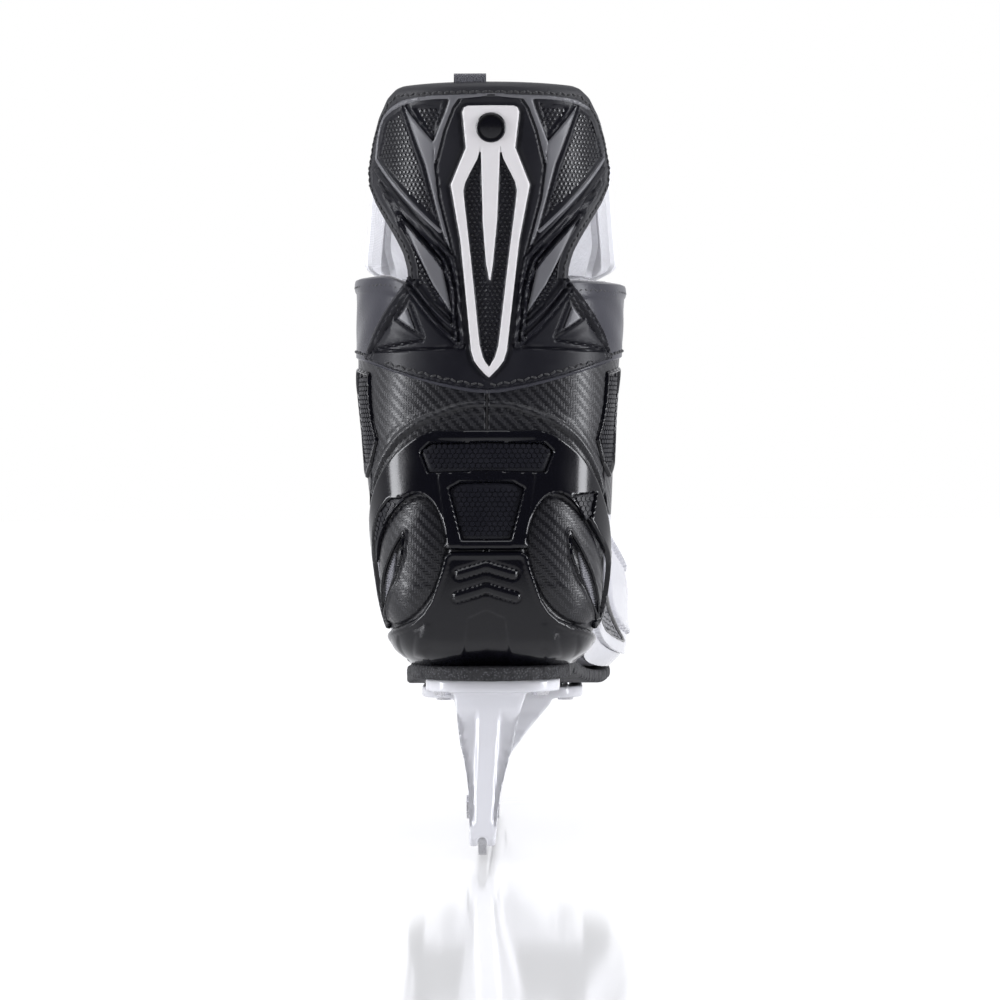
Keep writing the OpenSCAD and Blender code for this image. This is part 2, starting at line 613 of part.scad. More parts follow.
// Plain patch sewn on the front of the tongue, with a slot for the lace.
module tongue_label() {
    color([0.12, 0.12, 0.14]) panel(function (a, b)
        let (angle = 180 + (2 * b - 1) * 26) [u_at_z(mix(228, 254, a), min(angle, 360 - angle)), angle],
        4, 6, tongue_top + 0.2, tongue_top + 1.4);
}

// ---- Lacing ------------------------------------------------------------------------------
// Places of the eyelets: evenly spaced along the row.
eyelet_inset = 9;        // angle from the throat's edge to the row
function eyelet_angle(u) = throat(u) - eyelet_inset;
ROW_U = [for (k = [0:40]) mix(5.05, 15.1, k / 40)];
ROW = [for (u = ROW_U) skin(u, eyelet_angle(u), 0)];
ROW_LENGTH = [for (k = 0, d = 0; k < len(ROW); d = d + (k + 1 < len(ROW) ? norm(ROW[k + 1] - ROW[k]) : 0),
    k = k + 1) d];
ROW_PAIRS = [for (k = [0:len(ROW) - 1]) [ROW_LENGTH[k], ROW_U[k]]];
function eyelet_u(i) = lookup(ROW_LENGTH[len(ROW) - 1] * i / (eyelet_count - 1), ROW_PAIRS);

module eyestay(side) {
    color([0.08, 0.08, 0.09]) panel(function (a, b)
        let (u = mix(4.75, 15.6, a)) [u, side * mix(throat(u) - 18, throat(u), b)],
        20, 3, gap, 1.3);
}

// Turns +Z onto a direction.
module along(d) {
    rotate([0, acos(d[2] / norm(d)), atan2(d[1], d[0])]) children();
}

eyelet_bore_r = 2.3;

module eyelets(side) {
    color([0.65, 0.65, 0.68]) for (i = [0:eyelet_count - 1])
        let (u = eyelet_u(i), angle = side * eyelet_angle(u))
        translate(skin(u, angle, 1.75)) along(last_normal(u, angle)) difference() {
            cylinder(h = 0.9, r1 = eyelet_r, r2 = eyelet_r - 0.7, $fn = 24);
            translate([0, 0, -1]) cylinder(h = 3, r = eyelet_bore_r, $fn = 24);
        }
}

// The sections of the last fan upwards at the instep, so a crossing dips below them to run level.
function lace_dip(u) =
    let (front = last_point(u, 180)[2], row = last_point(u, eyelet_angle(u))[2] + 3)
    u - u_at_z(mix(front, row, smooth((u - 7) / 3)), 180, 5, 16);
// Depth of a lace along one crossing: over the eyestays at its ends, on the tongue between.
function lace_depth(a) = mix(3.3, tongue_top + 0.9, smooth((min(a, 1 - a) - 0.17) / 0.14));

module lace() {
    color([0.1, 0.1, 0.11]) for (i = [0:eyelet_count - 2], side = [-1, 1])
        let (
            u0 = eyelet_u(i), u1 = eyelet_u(i + 1),
            a0 = eyelet_angle(u0), a1 = eyelet_angle(u1),
            half = lace_w * 0.36 / norm(last_point(u0 + 0.5, 180) - last_point(u0 - 0.5, 180)),
            level = lace_dip((u0 + u1) / 2),
            rise = side > 0 ? lace_t + 0.2 : 0
        )
        panel(function (a, b) [mix(u0, u1, smooth(a)) - level * sin(180 * a) + half * (2 * b - 1),
            side * mix(a0, 360 - a1, a)], 18, 1,
            function (a, b) lace_depth(a) + rise, function (a, b) lace_depth(a) + rise + lace_t);
}

runner();
holder();
runner_bolts();
runner_nuts();
rivets(RIVETS_FRONT);  // rivets_front
rivets(RIVETS_REAR);  // rivets_rear
rivet_washers();
outsole();
insole_board();
footbed();
toe_cap();
toe_lining();
vamp(1);  // vamp_lateral
vamp(-1);  // vamp_medial
counter(1);  // counter_lateral
counter(-1);  // counter_medial
heel_cap();
heel_cage();
cuff(1);  // cuff_lateral
cuff(-1);  // cuff_medial
guard_skirt();
tendon_guard();
guard_padding();
guard_binding();
guard_inlay();
guard_inlay_tip();
guard_stud();
pull_loop();
lining(1);  // lining_lateral
lining(-1);  // lining_medial
ankle_pad(1);  // ankle_pad_lateral
ankle_pad(-1);  // ankle_pad_medial
tongue_lower();
tongue_upper();
tongue_felt();
tongue_label();
eyestay(1);  // eyestay_lateral
eyestay(-1);  // eyestay_medial
eyelets(1);  // eyelets_lateral
eyelets(-1);  // eyelets_medial
lace();
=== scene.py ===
import math

import bpy
import numpy as np
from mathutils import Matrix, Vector


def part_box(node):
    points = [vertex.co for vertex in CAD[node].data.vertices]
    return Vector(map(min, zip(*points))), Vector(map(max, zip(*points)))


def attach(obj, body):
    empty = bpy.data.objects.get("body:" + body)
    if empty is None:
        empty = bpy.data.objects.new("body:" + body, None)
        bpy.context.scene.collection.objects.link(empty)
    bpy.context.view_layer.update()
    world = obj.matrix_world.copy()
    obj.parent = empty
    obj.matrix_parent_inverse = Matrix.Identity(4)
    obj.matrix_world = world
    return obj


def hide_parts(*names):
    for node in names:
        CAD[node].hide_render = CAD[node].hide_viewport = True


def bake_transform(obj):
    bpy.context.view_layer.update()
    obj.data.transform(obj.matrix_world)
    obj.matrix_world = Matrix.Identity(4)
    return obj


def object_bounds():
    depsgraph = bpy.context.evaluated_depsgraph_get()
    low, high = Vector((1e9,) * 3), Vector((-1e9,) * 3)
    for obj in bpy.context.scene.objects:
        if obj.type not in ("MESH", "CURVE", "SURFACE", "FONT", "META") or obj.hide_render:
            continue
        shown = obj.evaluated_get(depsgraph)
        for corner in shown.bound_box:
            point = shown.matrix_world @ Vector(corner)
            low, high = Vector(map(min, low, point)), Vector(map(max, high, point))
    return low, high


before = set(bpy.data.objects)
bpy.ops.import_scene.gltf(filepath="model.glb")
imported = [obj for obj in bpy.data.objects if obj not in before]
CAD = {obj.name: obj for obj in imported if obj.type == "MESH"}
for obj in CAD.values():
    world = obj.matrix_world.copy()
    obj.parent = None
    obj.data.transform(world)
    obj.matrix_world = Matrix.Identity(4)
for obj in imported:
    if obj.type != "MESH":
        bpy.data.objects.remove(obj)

CAD_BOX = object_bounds()
MM = 0.001


# ---- Camera, light and floor ---------------------------------------------------------------
CAMERA_TURN = math.radians(0.8)
CAMERA_ROLL = math.radians(0.22)
CAMERA_REACH = 1.30       # metres from the eye to the point that it turns about
CAMERA_HEIGHT = 0.150
PIVOT_X = 0.0072
PIVOT_INSIDE_HEEL = 0.0039
LENS_LENGTH = 130.6       # millimetres
LENS_SHIFT = -0.0523


def place_camera():
    """Level with the ankle, behind the boot and a little to its inside."""
    heel = CAD_BOX[0].y
    turn = CAMERA_TURN
    reach = CAMERA_REACH
    eye = Vector((PIVOT_X + math.sin(turn) * reach, heel + PIVOT_INSIDE_HEEL - math.cos(turn) * reach,
        CAMERA_HEIGHT))
    lens = bpy.data.cameras.new("camera")
    lens.lens = LENS_LENGTH
    lens.sensor_width = 36
    lens.shift_y = LENS_SHIFT
    lens.clip_start = 0.05
    lens.clip_end = 60
    camera = bpy.data.objects.new("camera", lens)
    camera.location = eye
    camera.rotation_euler = (math.radians(90), CAMERA_ROLL, turn)
    bpy.context.collection.objects.link(camera)
    bpy.context.scene.camera = camera


def area_light(name, place, target, size, power, colour=(0.95, 0.96, 1.0)):
    data = bpy.data.lights.new(name, "AREA")
    data.shape = "RECTANGLE"
    data.size, data.size_y = size
    data.energy = power
    data.color = colour
    lamp = bpy.data.objects.new(name, data)
    lamp.location = place
    aim = Vector(target) - Vector(place)
    lamp.rotation_euler = aim.to_track_quat("-Z", "Y").to_euler()
    bpy.context.collection.objects.link(lamp)
    return lamp


ROOM_DARK = 0.04
ROOM_BRIGHT = 1.0


def light_studio():
    """A white sweep all round, darker behind the camera, with boxes that edge the gloss."""
    scene = bpy.context.scene
    scene.view_settings.view_transform = "Standard"
    world = bpy.data.worlds.new("studio")
    scene.world = world
    world.use_nodes = True
    tree = world.node_tree
    sweep = tree.nodes["Background"]
    where = tree.nodes.new("ShaderNodeTexCoord")
    split = tree.nodes.new("ShaderNodeSeparateXYZ")
    tree.links.new(where.outputs["Generated"], split.inputs[0])
    bright = tree.nodes.new("ShaderNodeMapRange")
    bright.interpolation_type = "SMOOTHSTEP"
    tree.links.new(split.outputs["Y"], bright.inputs["Value"])
    bright.inputs["From Min"].default_value = -0.55
    bright.inputs["From Max"].default_value = 0.30
    bright.inputs["To Min"].default_value = ROOM_DARK
    bright.inputs["To Max"].default_value = ROOM_BRIGHT
    tree.links.new(bright.outputs["Result"], sweep.inputs["Strength"])
    backdrop = tree.nodes.new("ShaderNodeBackground")
    seen = tree.nodes.new("ShaderNodeLightPath")
    choose = tree.nodes.new("ShaderNodeMixShader")
    tree.links.new(seen.outputs["Is Camera Ray"], choose.inputs[0])
    tree.links.new(sweep.outputs[0], choose.inputs[1])
    tree.links.new(backdrop.outputs[0], choose.inputs[2])
    sweep.inputs["Color"].default_value = (0.96, 0.965, 1.0, 1)
    backdrop.inputs["Color"].default_value = (1, 1, 1, 1)
    tree.links.new(choose.outputs[0], tree.nodes["World Output"].inputs["Surface"])
    centre = (0, 0, 0.17)
    area_light("strip_left", (-1.0, -0.50, 0.34), centre, (0.22, 1.0), 11)
    area_light("strip_right", (1.0, -0.40, 0.34), centre, (0.22, 1.0), 11)
    area_light("top_box", (0, -0.35, 1.3), centre, (1.5, 0.6), 7)
    fill = area_light("front_fill", (0, -2.0, 0.5), centre, (1.6, 1.2), 9)
    fill.visible_glossy = False
    back_fill = area_light("toe_fill", (0, 2.0, 0.7), centre, (1.6, 1.2), 8)
    back_fill.visible_glossy = False


def lay_floor():
    """A pale acrylic table top, faintly mirrored, that fades into the white around it."""
    mesh = bpy.data.meshes.new("floor")
    reach = 6
    mesh.from_pydata([(-reach, -reach, 0), (reach, -reach, 0), (reach, reach, 0), (-reach, reach, 0)],
        [], [(0, 1, 2, 3)])
    floor = bpy.data.objects.new("floor", mesh)
    floor.location.z = -0.0002
    bpy.context.collection.objects.link(floor)
    mesh.materials.append(acrylic())


# ---- Materials -----------------------------------------------------------------------------
class Shader:
    """A node material with one main shader, and short calls for the usual patterns."""

    def __init__(self, name, colour, rough, metal=0.0, coat=0.0, coat_rough=0.1, specular=0.5,
            sheen=0.0):
        self.material = bpy.data.materials.new(name)
        self.material.use_nodes = True
        self.tree = self.material.node_tree
        self.main = self.tree.nodes["Principled BSDF"]
        self.set("Base Color", (*colour, 1))
        self.set("Roughness", rough)
        self.set("Metallic", metal)
        self.set("Coat Weight", coat)
        self.set("Coat Roughness", coat_rough)
        self.set("Specular IOR Level", specular)
        self.set("Sheen Weight", sheen)
        self.bump = None

    def set(self, socket, value):
        self.main.inputs[socket].default_value = value

    def node(self, kind, **values):
        made = self.tree.nodes.new("ShaderNode" + kind)
        for key, value in values.items():
            if key in ("operation", "blend_type", "feature", "wave_type", "bands_direction",
                    "distance", "data_type", "uv_map", "wave_profile"):
                setattr(made, key, value)
            else:
                made.inputs[key.replace("_", " ")].default_value = value
        return made

    def link(self, out, to):
        self.tree.links.new(out, to)

    def flat(self, scale=1.0):
        """Coordinates on the unrolled surface, in centimetres."""
        uv = self.node("UVMap", uv_map="flat")
        if scale == 1.0:
            return uv.outputs["UV"]
        spread = self.node("VectorMath", operation="SCALE")
        spread.inputs["Scale"].default_value = scale
        self.link(uv.outputs["UV"], spread.inputs[0])
        return spread.outputs["Vector"]

    def solid(self):
        return self.node("TexCoord").outputs["Object"]

    def noise(self, scale, detail=3.0, where=None, distortion=0.0):
        made = self.node("TexNoise", Scale=scale, Detail=detail, Distortion=distortion)
        self.link(where or self.solid(), made.inputs["Vector"])
        return made.outputs["Fac"]

    def math(self, operation, a, b=None, c=None):
        made = self.node("Math", operation=operation)
        for k, value in enumerate((a, b, c)):
            if value is None:
                continue
            if isinstance(value, (int, float)):
                made.inputs[k].default_value = value
            else:
                self.link(value, made.inputs[k])
        return made.outputs["Value"]

    def between(self, factor, low, high, start=0.0, end=1.0):
        """Maps factor from start..end to low..high."""
        made = self.node("MapRange")
        self.link(factor, made.inputs["Value"])
        made.inputs["From Min"].default_value = start
        made.inputs["From Max"].default_value = end
        made.inputs["To Min"].default_value = low
        made.inputs["To Max"].default_value = high
        return made.outputs["Result"]

    def colour(self, factor, first, second):
        made = self.node("Mix", data_type="RGBA")
        self.link(factor, made.inputs["Factor"])
        made.inputs[6].default_value = (*first, 1)
        made.inputs[7].default_value = (*second, 1)
        self.link(made.outputs[2], self.main.inputs["Base Color"])

    def rough(self, factor, low, high, start=0.3, end=0.7):
        self.link(self.between(factor, low, high, start, end), self.main.inputs["Roughness"])

    def raise_by(self, height, distance, strength=1.0):
        made = self.node("Bump", Strength=strength, Distance=distance)
        self.link(height, made.inputs["Height"])
        if self.bump:
            self.link(self.bump.outputs["Normal"], made.inputs["Normal"])
        self.bump = made
        self.link(made.outputs["Normal"], self.main.inputs["Normal"])
        return self

    def twill(self, count):
        """Height of a twill weave: count threads to the centimetre, each over two and under two."""
        split = self.node("SeparateXYZ")
        self.link(self.flat(count), split.inputs[0])
        x, y = split.outputs["X"], split.outputs["Y"]
        row = self.math("FLOOR", y)
        column = self.math("FLOOR", x)
        phase = self.math("MODULO", self.math("ADD", self.math("ADD", row, column), 4000.0), 4.0)
        over = self.math("LESS_THAN", phase, 1.5)
        along_x = self.math("PINGPONG", x, 0.5)
        along_y = self.math("PINGPONG", y, 0.5)
        warp = self.math("MULTIPLY", over, along_x)
        weft = self.math("MULTIPLY", self.math("SUBTRACT", 1.0, over), along_y)
        return self.math("ADD", warp, weft), over


def gloss_black(name="black_gloss", rough=0.16):
    s = Shader(name, (0.003, 0.003, 0.005), rough, coat=0.2, coat_rough=0.06, specular=0.28)
    s.rough(s.noise(38, 4), rough * 0.8, rough * 1.5)
    s.raise_by(s.noise(900, 3), 0.00002, 0.5)
    return s.material


def satin_black(name="black_satin", rough=0.42):
    s = Shader(name, (0.010, 0.010, 0.012), rough, specular=0.25)
    dust = s.noise(60, 5)
    s.colour(dust, (0.005, 0.005, 0.008), (0.009, 0.009, 0.013))
    s.rough(dust, rough - 0.06, rough + 0.08)
    s.raise_by(s.noise(2600, 3), 0.00004, 0.6)
    return s.material


def twill_black(name="twill_black"):
    s = Shader(name, (0.010, 0.010, 0.013), 0.36, coat=0.12, coat_rough=0.3, specular=0.4)
    height, over = s.twill(10.0)
    s.colour(over, (0.006, 0.006, 0.008), (0.012, 0.012, 0.015))
    s.rough(over, 0.30, 0.46, 0.0, 1.0)
    s.raise_by(height, 0.00014, 0.8)
    s.raise_by(s.noise(1800, 3), 0.00003, 0.5)
    return s.material


def grained_black(name="grained_black", colour=(0.010, 0.010, 0.013), rough=0.40):
    """Synthetic leather: fine pebble grain with softer creases."""
    s = Shader(name, colour, rough, specular=0.35)
    pebble = s.node("TexVoronoi", Scale=1400.0, feature="SMOOTH_F1")
    s.link(s.solid(), pebble.inputs["Vector"])
    cloud = s.noise(45, 4)
    s.colour(cloud, [c * 0.8 for c in colour], [c * 1.35 for c in colour])
    s.rough(cloud, rough - 0.08, rough + 0.08)
    s.raise_by(pebble.outputs["Distance"], 0.00006, 0.55)
    s.raise_by(s.noise(220, 4), 0.00012, 0.35)
    return s.material


def painted_grey(name="inlay_grey", colour=(0.105, 0.105, 0.115)):
    s = Shader(name, colour, 0.36)
    cloud = s.noise(90, 4)
    s.colour(cloud, [c * 0.88 for c in colour], [c * 1.1 for c in colour])
    s.rough(cloud, 0.3, 0.44)
    s.raise_by(s.noise(2200, 2), 0.00003, 0.5)
    return s.material


def white_plastic(name="white_plastic", colour=(0.73, 0.73, 0.76), rough=0.22):
    s = Shader(name, colour, rough, coat=0.3, coat_rough=0.06)
    cloud = s.noise(28, 4)
    s.colour(cloud, [c * 0.975 for c in colour], colour)
    s.rough(cloud, rough - 0.05, rough + 0.08)
    s.raise_by(s.noise(420, 3), 0.00003, 0.4)
    return s.material


def white_paint(name="inlay_white"):
    s = Shader(name, (0.62, 0.60, 0.61), 0.4)
    cloud = s.noise(120, 4)
    s.colour(cloud, (0.58, 0.56, 0.57), (0.64, 0.625, 0.63))
    s.rough(cloud, 0.34, 0.48)
    s.raise_by(s.noise(1900, 2), 0.00003, 0.5)
    return s.material


def fabric(name, colour, threads=14.0, rough=0.85, depth=0.00012, sheen=0.25):
    """Plain woven cloth with a little fuzz; threads to the centimetre."""
    s = Shader(name, colour, rough, sheen=sheen)
    split = s.node("SeparateXYZ")
    s.link(s.flat(threads), split.inputs[0])
    across = s.math("SINE", s.math("MULTIPLY", split.outputs["X"], math.tau))
    along = s.math("SINE", s.math("MULTIPLY", split.outputs["Y"], math.tau))
    weave = s.math("MULTIPLY", across, along)
    fuzz = s.noise(1500, 4)
    s.colour(s.between(weave, 0, 1, -1, 1), [c * 0.72 for c in colour], [min(c * 1.2, 1) for c in colour])
    s.raise_by(weave, depth, 0.7)
    s.raise_by(fuzz, 0.0001, 0.4)
    return s.material


def fleece(name, colour, sheen=0.5):
    """Brushed lining: no weave, only nap."""
    s = Shader(name, colour, 0.92, sheen=sheen)
    nap = s.noise(700, 6)
    cloud = s.noise(70, 4)
    s.colour(cloud, [c * 0.75 for c in colour], [min(c * 1.25, 1) for c in colour])
    s.raise_by(nap, 0.0005, 0.7)
    return s.material


def granular(name="outsole_black"):
    s = Shader(name, (0.02, 0.02, 0.022), 0.7)
    grit = s.node("TexVoronoi", Scale=1100.0)
    s.link(s.solid(), grit.inputs["Vector"])
    spots = s.between(grit.outputs["Distance"], 1, 0, 0.05, 0.45)
    s.colour(spots, (0.012, 0.012, 0.014), (0.075, 0.075, 0.085))
    s.rough(s.noise(300, 3), 0.55, 0.85)
    s.raise_by(grit.outputs["Distance"], 0.0004, 0.9)
    return s.material


def ground_steel(name="ground_steel"):
    s = Shader(name, (0.52, 0.52, 0.54), 0.26, metal=1.0)
    stretch = s.node("Mapping")
    s.link(s.solid(), stretch.inputs["Vector"])
    stretch.inputs["Scale"].default_value = (1.0, 0.03, 1.0)
    lines = s.noise(4200, 2, stretch.outputs["Vector"])
    s.colour(s.noise(40, 4), (0.46, 0.46, 0.48), (0.58, 0.58, 0.60))
    s.rough(lines, 0.18, 0.38)
    s.raise_by(lines, 0.00002, 0.6)
    return s.material


def bright_steel(name="bright_steel"):
    s = Shader(name, (0.62, 0.62, 0.64), 0.24, metal=1.0)
    wear = s.noise(500, 4)
    s.colour(wear, (0.55, 0.55, 0.57), (0.68, 0.68, 0.70))
    s.rough(wear, 0.18, 0.36)
    return s.material


def board_brown(name="board_brown"):
    s = Shader(name, (0.30, 0.20, 0.12), 0.75)
    fibre = s.noise(320, 6)
    s.colour(fibre, (0.22, 0.15, 0.09), (0.38, 0.27, 0.16))
    s.raise_by(fibre, 0.0003, 0.6)
    return s.material


def acrylic(name="table_white"):
    s = Shader(name, (0.50, 0.50, 0.505), 0.06)
    s.set("IOR", 1.7)
    s.set("Emission Color", (1, 1, 1, 1))
    s.set("Emission Strength", 0.27)
    s.rough(s.noise(2, 2), 0.06, 0.09)
    return s.material


def thread_black(name="thread_black"):
    s = Shader(name, (0.010, 0.010, 0.012), 0.6, sheen=0.2)
    s.raise_by(s.noise(4000, 2), 0.00008, 0.6)
    return s.material


# ---- The boot's surface ---------------------------------------------------------------------
# Each row: back y and z, instep y and z, share of the depth behind the widest line, half widths
# outside and inside of the foot, roundness behind and in front.
LAST = np.array([
    [148, 80, 148, 80, 0.50, 0, 0, 2.4, 2.2],
    [148, 68, 148, 91, 0.50, 17, 15, 2.6, 2.2],
    [145, 60, 143, 104, 0.45, 34, 29, 3.4, 2.2],
    [134, 57, 129, 115, 0.42, 44, 37, 4.6, 2.3],
    [112, 57, 107, 121, 0.42, 49, 41, 5.5, 2.3],
    [84, 57.5, 82, 126, 0.42, 51.5, 42, 5.8, 2.3],
    [54, 58, 60, 134, 0.42, 49.5, 41, 5.6, 2.3],
    [22, 60, 38, 145, 0.42, 43, 39, 5.2, 2.3],
    [-12, 63.2, 16, 160, 0.43, 39, 38, 4.8, 2.3],
    [-48, 67.2, -5, 177, 0.45, 40, 39, 4.8, 2.3],
    [-84, 69.7, -20, 192, 0.46, 41.5, 38.5, 4.8, 2.3],
    [-113, 70.2, -29, 202, 0.47, 42.8, 38.8, 4.6, 2.3],
    [-132, 72.5, -33, 208, 0.48, 44.5, 40.6, 4.2, 2.3],
    [-141.5, 82, -35, 212, 0.48, 45.6, 42, 3.6, 2.3],
    [-145.5, 96, -36, 215, 0.48, 46.5, 44.4, 3, 2.3],
    [-145.5, 113, -37, 218, 0.48, 46.5, 46.4, 2.6, 2.3],
    [-142, 132, -37.5, 222, 0.48, 47.5, 48.5, 2.4, 2.3],
    [-137, 151, -37.5, 226, 0.48, 49, 49, 2.4, 2.3],
    [-133.5, 169, -37, 231, 0.48, 50, 49, 2.4, 2.3],
    [-132.5, 187, -35, 236, 0.48, 50, 49, 2.4, 2.3],
    [-133.5, 205, -33, 243, 0.48, 49, 48, 2.4, 2.3],
    [-135, 224, -30, 251, 0.48, 48, 47, 2.4, 2.3],
    [-136.5, 243, -27, 260, 0.48, 47.5, 46.5, 2.4, 2.3],
    [-138, 262, -23, 270, 0.48, 47.5, 46.5, 2.4, 2.3],
    [-139.5, 281, -18, 284, 0.48, 48, 47, 2.4, 2.3],
    [-141, 300, -14, 300, 0.48, 48, 47, 2.4, 2.3],
])
LAST_END = len(LAST) - 1
PADDED = np.vstack([2 * LAST[0] - LAST[1], LAST, 2 * LAST[-1] - LAST[-2]])


def mix(a, b, t):
    return a + (b - a) * t


def smooth(t):
    t = np.clip(t, 0, 1)
    return t * t * (3 - 2 * t)


def lookup(x, pairs):
    pairs = np.array(pairs, float)
    return np.interp(x, pairs[:, 0], pairs[:, 1])


def section(u):
    """Blended section of the last at place u along it."""
    c = np.clip(u, 0, LAST_END - 1e-4)
    i = np.floor(c).astype(int)
    f = (c - i)[..., None]
    return ((1 - f) ** 3 * PADDED[i] + (3 * f ** 3 - 6 * f * f + 4) * PADDED[i + 1]
        + (1 + 3 * f + 3 * f * f - 3 * f ** 3) * PADDED[i + 2] + f ** 3 * PADDED[i + 3]) / 6


def middle_x(y, z):
    return 2 + (z - 64) * 0.004 + 4.5 * smooth((y + 70) / 170)


def last_point(u, angle):
    """Angle 0 is the sole or back, 90 the outside of the foot, 180 the instep, -90 the inside."""
    u, angle = np.broadcast_arrays(np.asarray(u, float), np.asarray(angle, float))
    q = section(u)
    a = np.where(angle > 180, angle - 360, np.where(angle < -180, angle + 360, angle))
    behind = np.abs(a) <= 90
    power = 2 / np.where(behind, q[..., 7], q[..., 8])
    across = np.abs(np.sin(np.radians(a))) ** power
    along = np.abs(np.cos(np.radians(a))) ** power
    m = q[..., 4]
    t = np.where(behind, m * (1 - along), m + (1 - m) * along)
    y = mix(q[..., 0], q[..., 2], t)
    z = mix(q[..., 1], q[..., 3], t)
    half = np.where(a >= 0, q[..., 5], q[..., 6])
    return np.stack([middle_x(y, z) + np.sign(a) * half * across, y, z], -1)


def last_normal(u, angle):
    du, da = 0.06, 1.5
    u = np.asarray(u, float)
    first = last_point(u + du, angle) - last_point(np.maximum(u - du, 0), angle)
    second = last_point(u, angle + da) - last_point(u, angle - da)
    n = np.cross(first, second)
    n /= np.maximum(np.linalg.norm(n, axis=-1, keepdims=True), 1e-9)
    q = section(u)
    y = mix(q[..., 0], q[..., 2], q[..., 4])
    z = mix(q[..., 1], q[..., 3], q[..., 4])
    core = np.stack([middle_x(q[..., 0], q[..., 1]), y, z], -1)
    inward = np.sum(n * (last_point(u, angle) - core), -1, keepdims=True) < 0
    return np.where(inward, -n, n)


def skin(u, angle, depth):
    """Point at a depth outside (positive) or inside (negative) the boot's surface."""
    return last_point(u, angle) + np.asarray(depth, float)[..., None] * last_normal(u, angle)


def u_at_z(z, angle, low=9.0, high=float(LAST_END), steps=20):
    z, angle = np.broadcast_arrays(np.asarray(z, float), np.asarray(angle, float))
    lower = np.full(z.shape, low)
    upper = np.full(z.shape, high)
    for _ in range(steps):
        u = (lower + upper) / 2
        under = last_point(u, angle)[..., 2] < z
        lower = np.where(under, u, lower)
        upper = np.where(under, upper, u)
    return (lower + upper) / 2


# The back and sides, unrolled: s runs level round the boot from the middle of the back,
# positive to the outside of the foot, and z is the height.
Z_STEP = 2.0
Z_ROWS = np.arange(66, 298.1, Z_STEP)
A_COLUMNS = np.arange(-178, 178.1, 1.0)


def unroll():
    z, angle = np.meshgrid(Z_ROWS, A_COLUMNS, indexing="ij")
    u = u_at_z(z, angle)
    p = last_point(u, angle)
    step = np.linalg.norm(np.diff(p[..., :2], axis=1), axis=-1)
    s = np.hstack([np.zeros((len(Z_ROWS), 1)), np.cumsum(step, axis=1)])
    middle = len(A_COLUMNS) // 2
    return u, s - s[:, middle:middle + 1]


U_TABLE, S_TABLE = unroll()


def read_table(values, z, angle):
    i = np.clip((z - Z_ROWS[0]) / Z_STEP, 0, len(Z_ROWS) - 1.001)
    j = np.clip(angle - A_COLUMNS[0], 0, len(A_COLUMNS) - 1.001)
    i0, j0 = np.floor(i).astype(int), np.floor(j).astype(int)
    fi, fj = i - i0, j - j0
    return ((values[i0, j0] * (1 - fi) + values[i0 + 1, j0] * fi) * (1 - fj)
        + (values[i0, j0 + 1] * (1 - fi) + values[i0 + 1, j0 + 1] * fi) * fj)


def unrolled(z, angle):
    """s of a point on the back or sides."""
    return read_table(S_TABLE, z, angle)


def from_flat(s, z):
    """Place along the last and angle of an unrolled point."""
    s, z = np.broadcast_arrays(np.asarray(s, float), np.asarray(z, float))
    lower = np.full(s.shape, A_COLUMNS[0])
    upper = np.full(s.shape, A_COLUMNS[-1])
    for _ in range(22):
        angle = (lower + upper) / 2
        under = read_table(S_TABLE, z, angle) < s
        lower = np.where(under, angle, lower)
        upper = np.where(under, upper, angle)
    angle = (lower + upper) / 2
    u = read_table(U_TABLE, z, angle)
    for _ in range(3):
        here = last_point(u, angle)[..., 2]
        ahead = last_point(u + 0.02, angle)[..., 2]
        u = np.clip(u + 0.02 * (z - here) / np.maximum(ahead - here, 1e-3), 9, LAST_END)
    return u, angle


# ---- Lines that the panels meet on, as in the CAD model ---------------------------------------
COLLAR_Z = 209.0
GUARD_TOP = 281.0
FLEX_Z = 210.0
SHELL = 2.6
THROAT = [[4.3, 172], [5, 163], [6, 157], [7.5, 152], [9, 149], [11, 146], [13, 143], [16, 140]]
SOLE_EDGE = [[6, 28], [10, 20], [11, 16], [11.4, 9], [11.55, 0.3]]
SOLE_U = [[0, 11.55], [9, 11.4], [16, 11], [20, 10]]
BORDER = [[20, 10], [30, 10.5], [45, 10.9], [56, 11.5], [60, 12.3], [63, 14.6], [66, 14.4],
    [90, 12.5], [120, 10.7], [146, 9.2]]
GUARD = [[0, 16], [1, 27], [2.6, 33.5], [5, 36.6], [10, 39.6], [18, 42], [29, 43.9], [36, 43.4],
    [42, 41], [48, 37.6], [54, 34], [60, 30.8], [66, 29], [72, 28.6]]


def seam_z(angle):
    near = np.minimum(np.abs(angle), 90)
    return 170.8 + 13.5 * np.sin(np.radians(near)) ** 1.2 + np.maximum(np.abs(angle) - 90, 0) * 0.08


def toe_edge(angle):
    return 4.1 + 0.3 * np.sin(np.radians(angle / 2)) ** 6


def back_angle(x, half=47.5):
    return np.degrees(np.arcsin(np.clip(x / half, 0, 0.999) ** 1.2))


def guard_half(z):
    return lookup(GUARD_TOP - np.asarray(z, float), GUARD)


def guard_angle(z, inset=0.0):
    return back_angle(guard_half(z) - inset)


# ---- Outlines on the unrolled surface ---------------------------------------------------------
def line_distance(s, z, points, closed=False):
    """Distance from each (s, z) to a line through the points."""
    points = np.array(points, float)
    ends = np.roll(points, -1, axis=0) if closed else points[1:]
    best = np.full(np.shape(s), 1e9)
    for a, b in zip(points, ends):
        e = b - a
        t = np.clip(((s - a[0]) * e[0] + (z - a[1]) * e[1]) / max(e @ e, 1e-9), 0, 1)
        best = np.minimum(best, np.hypot(s - a[0] - t * e[0], z - a[1] - t * e[1]))
    return best


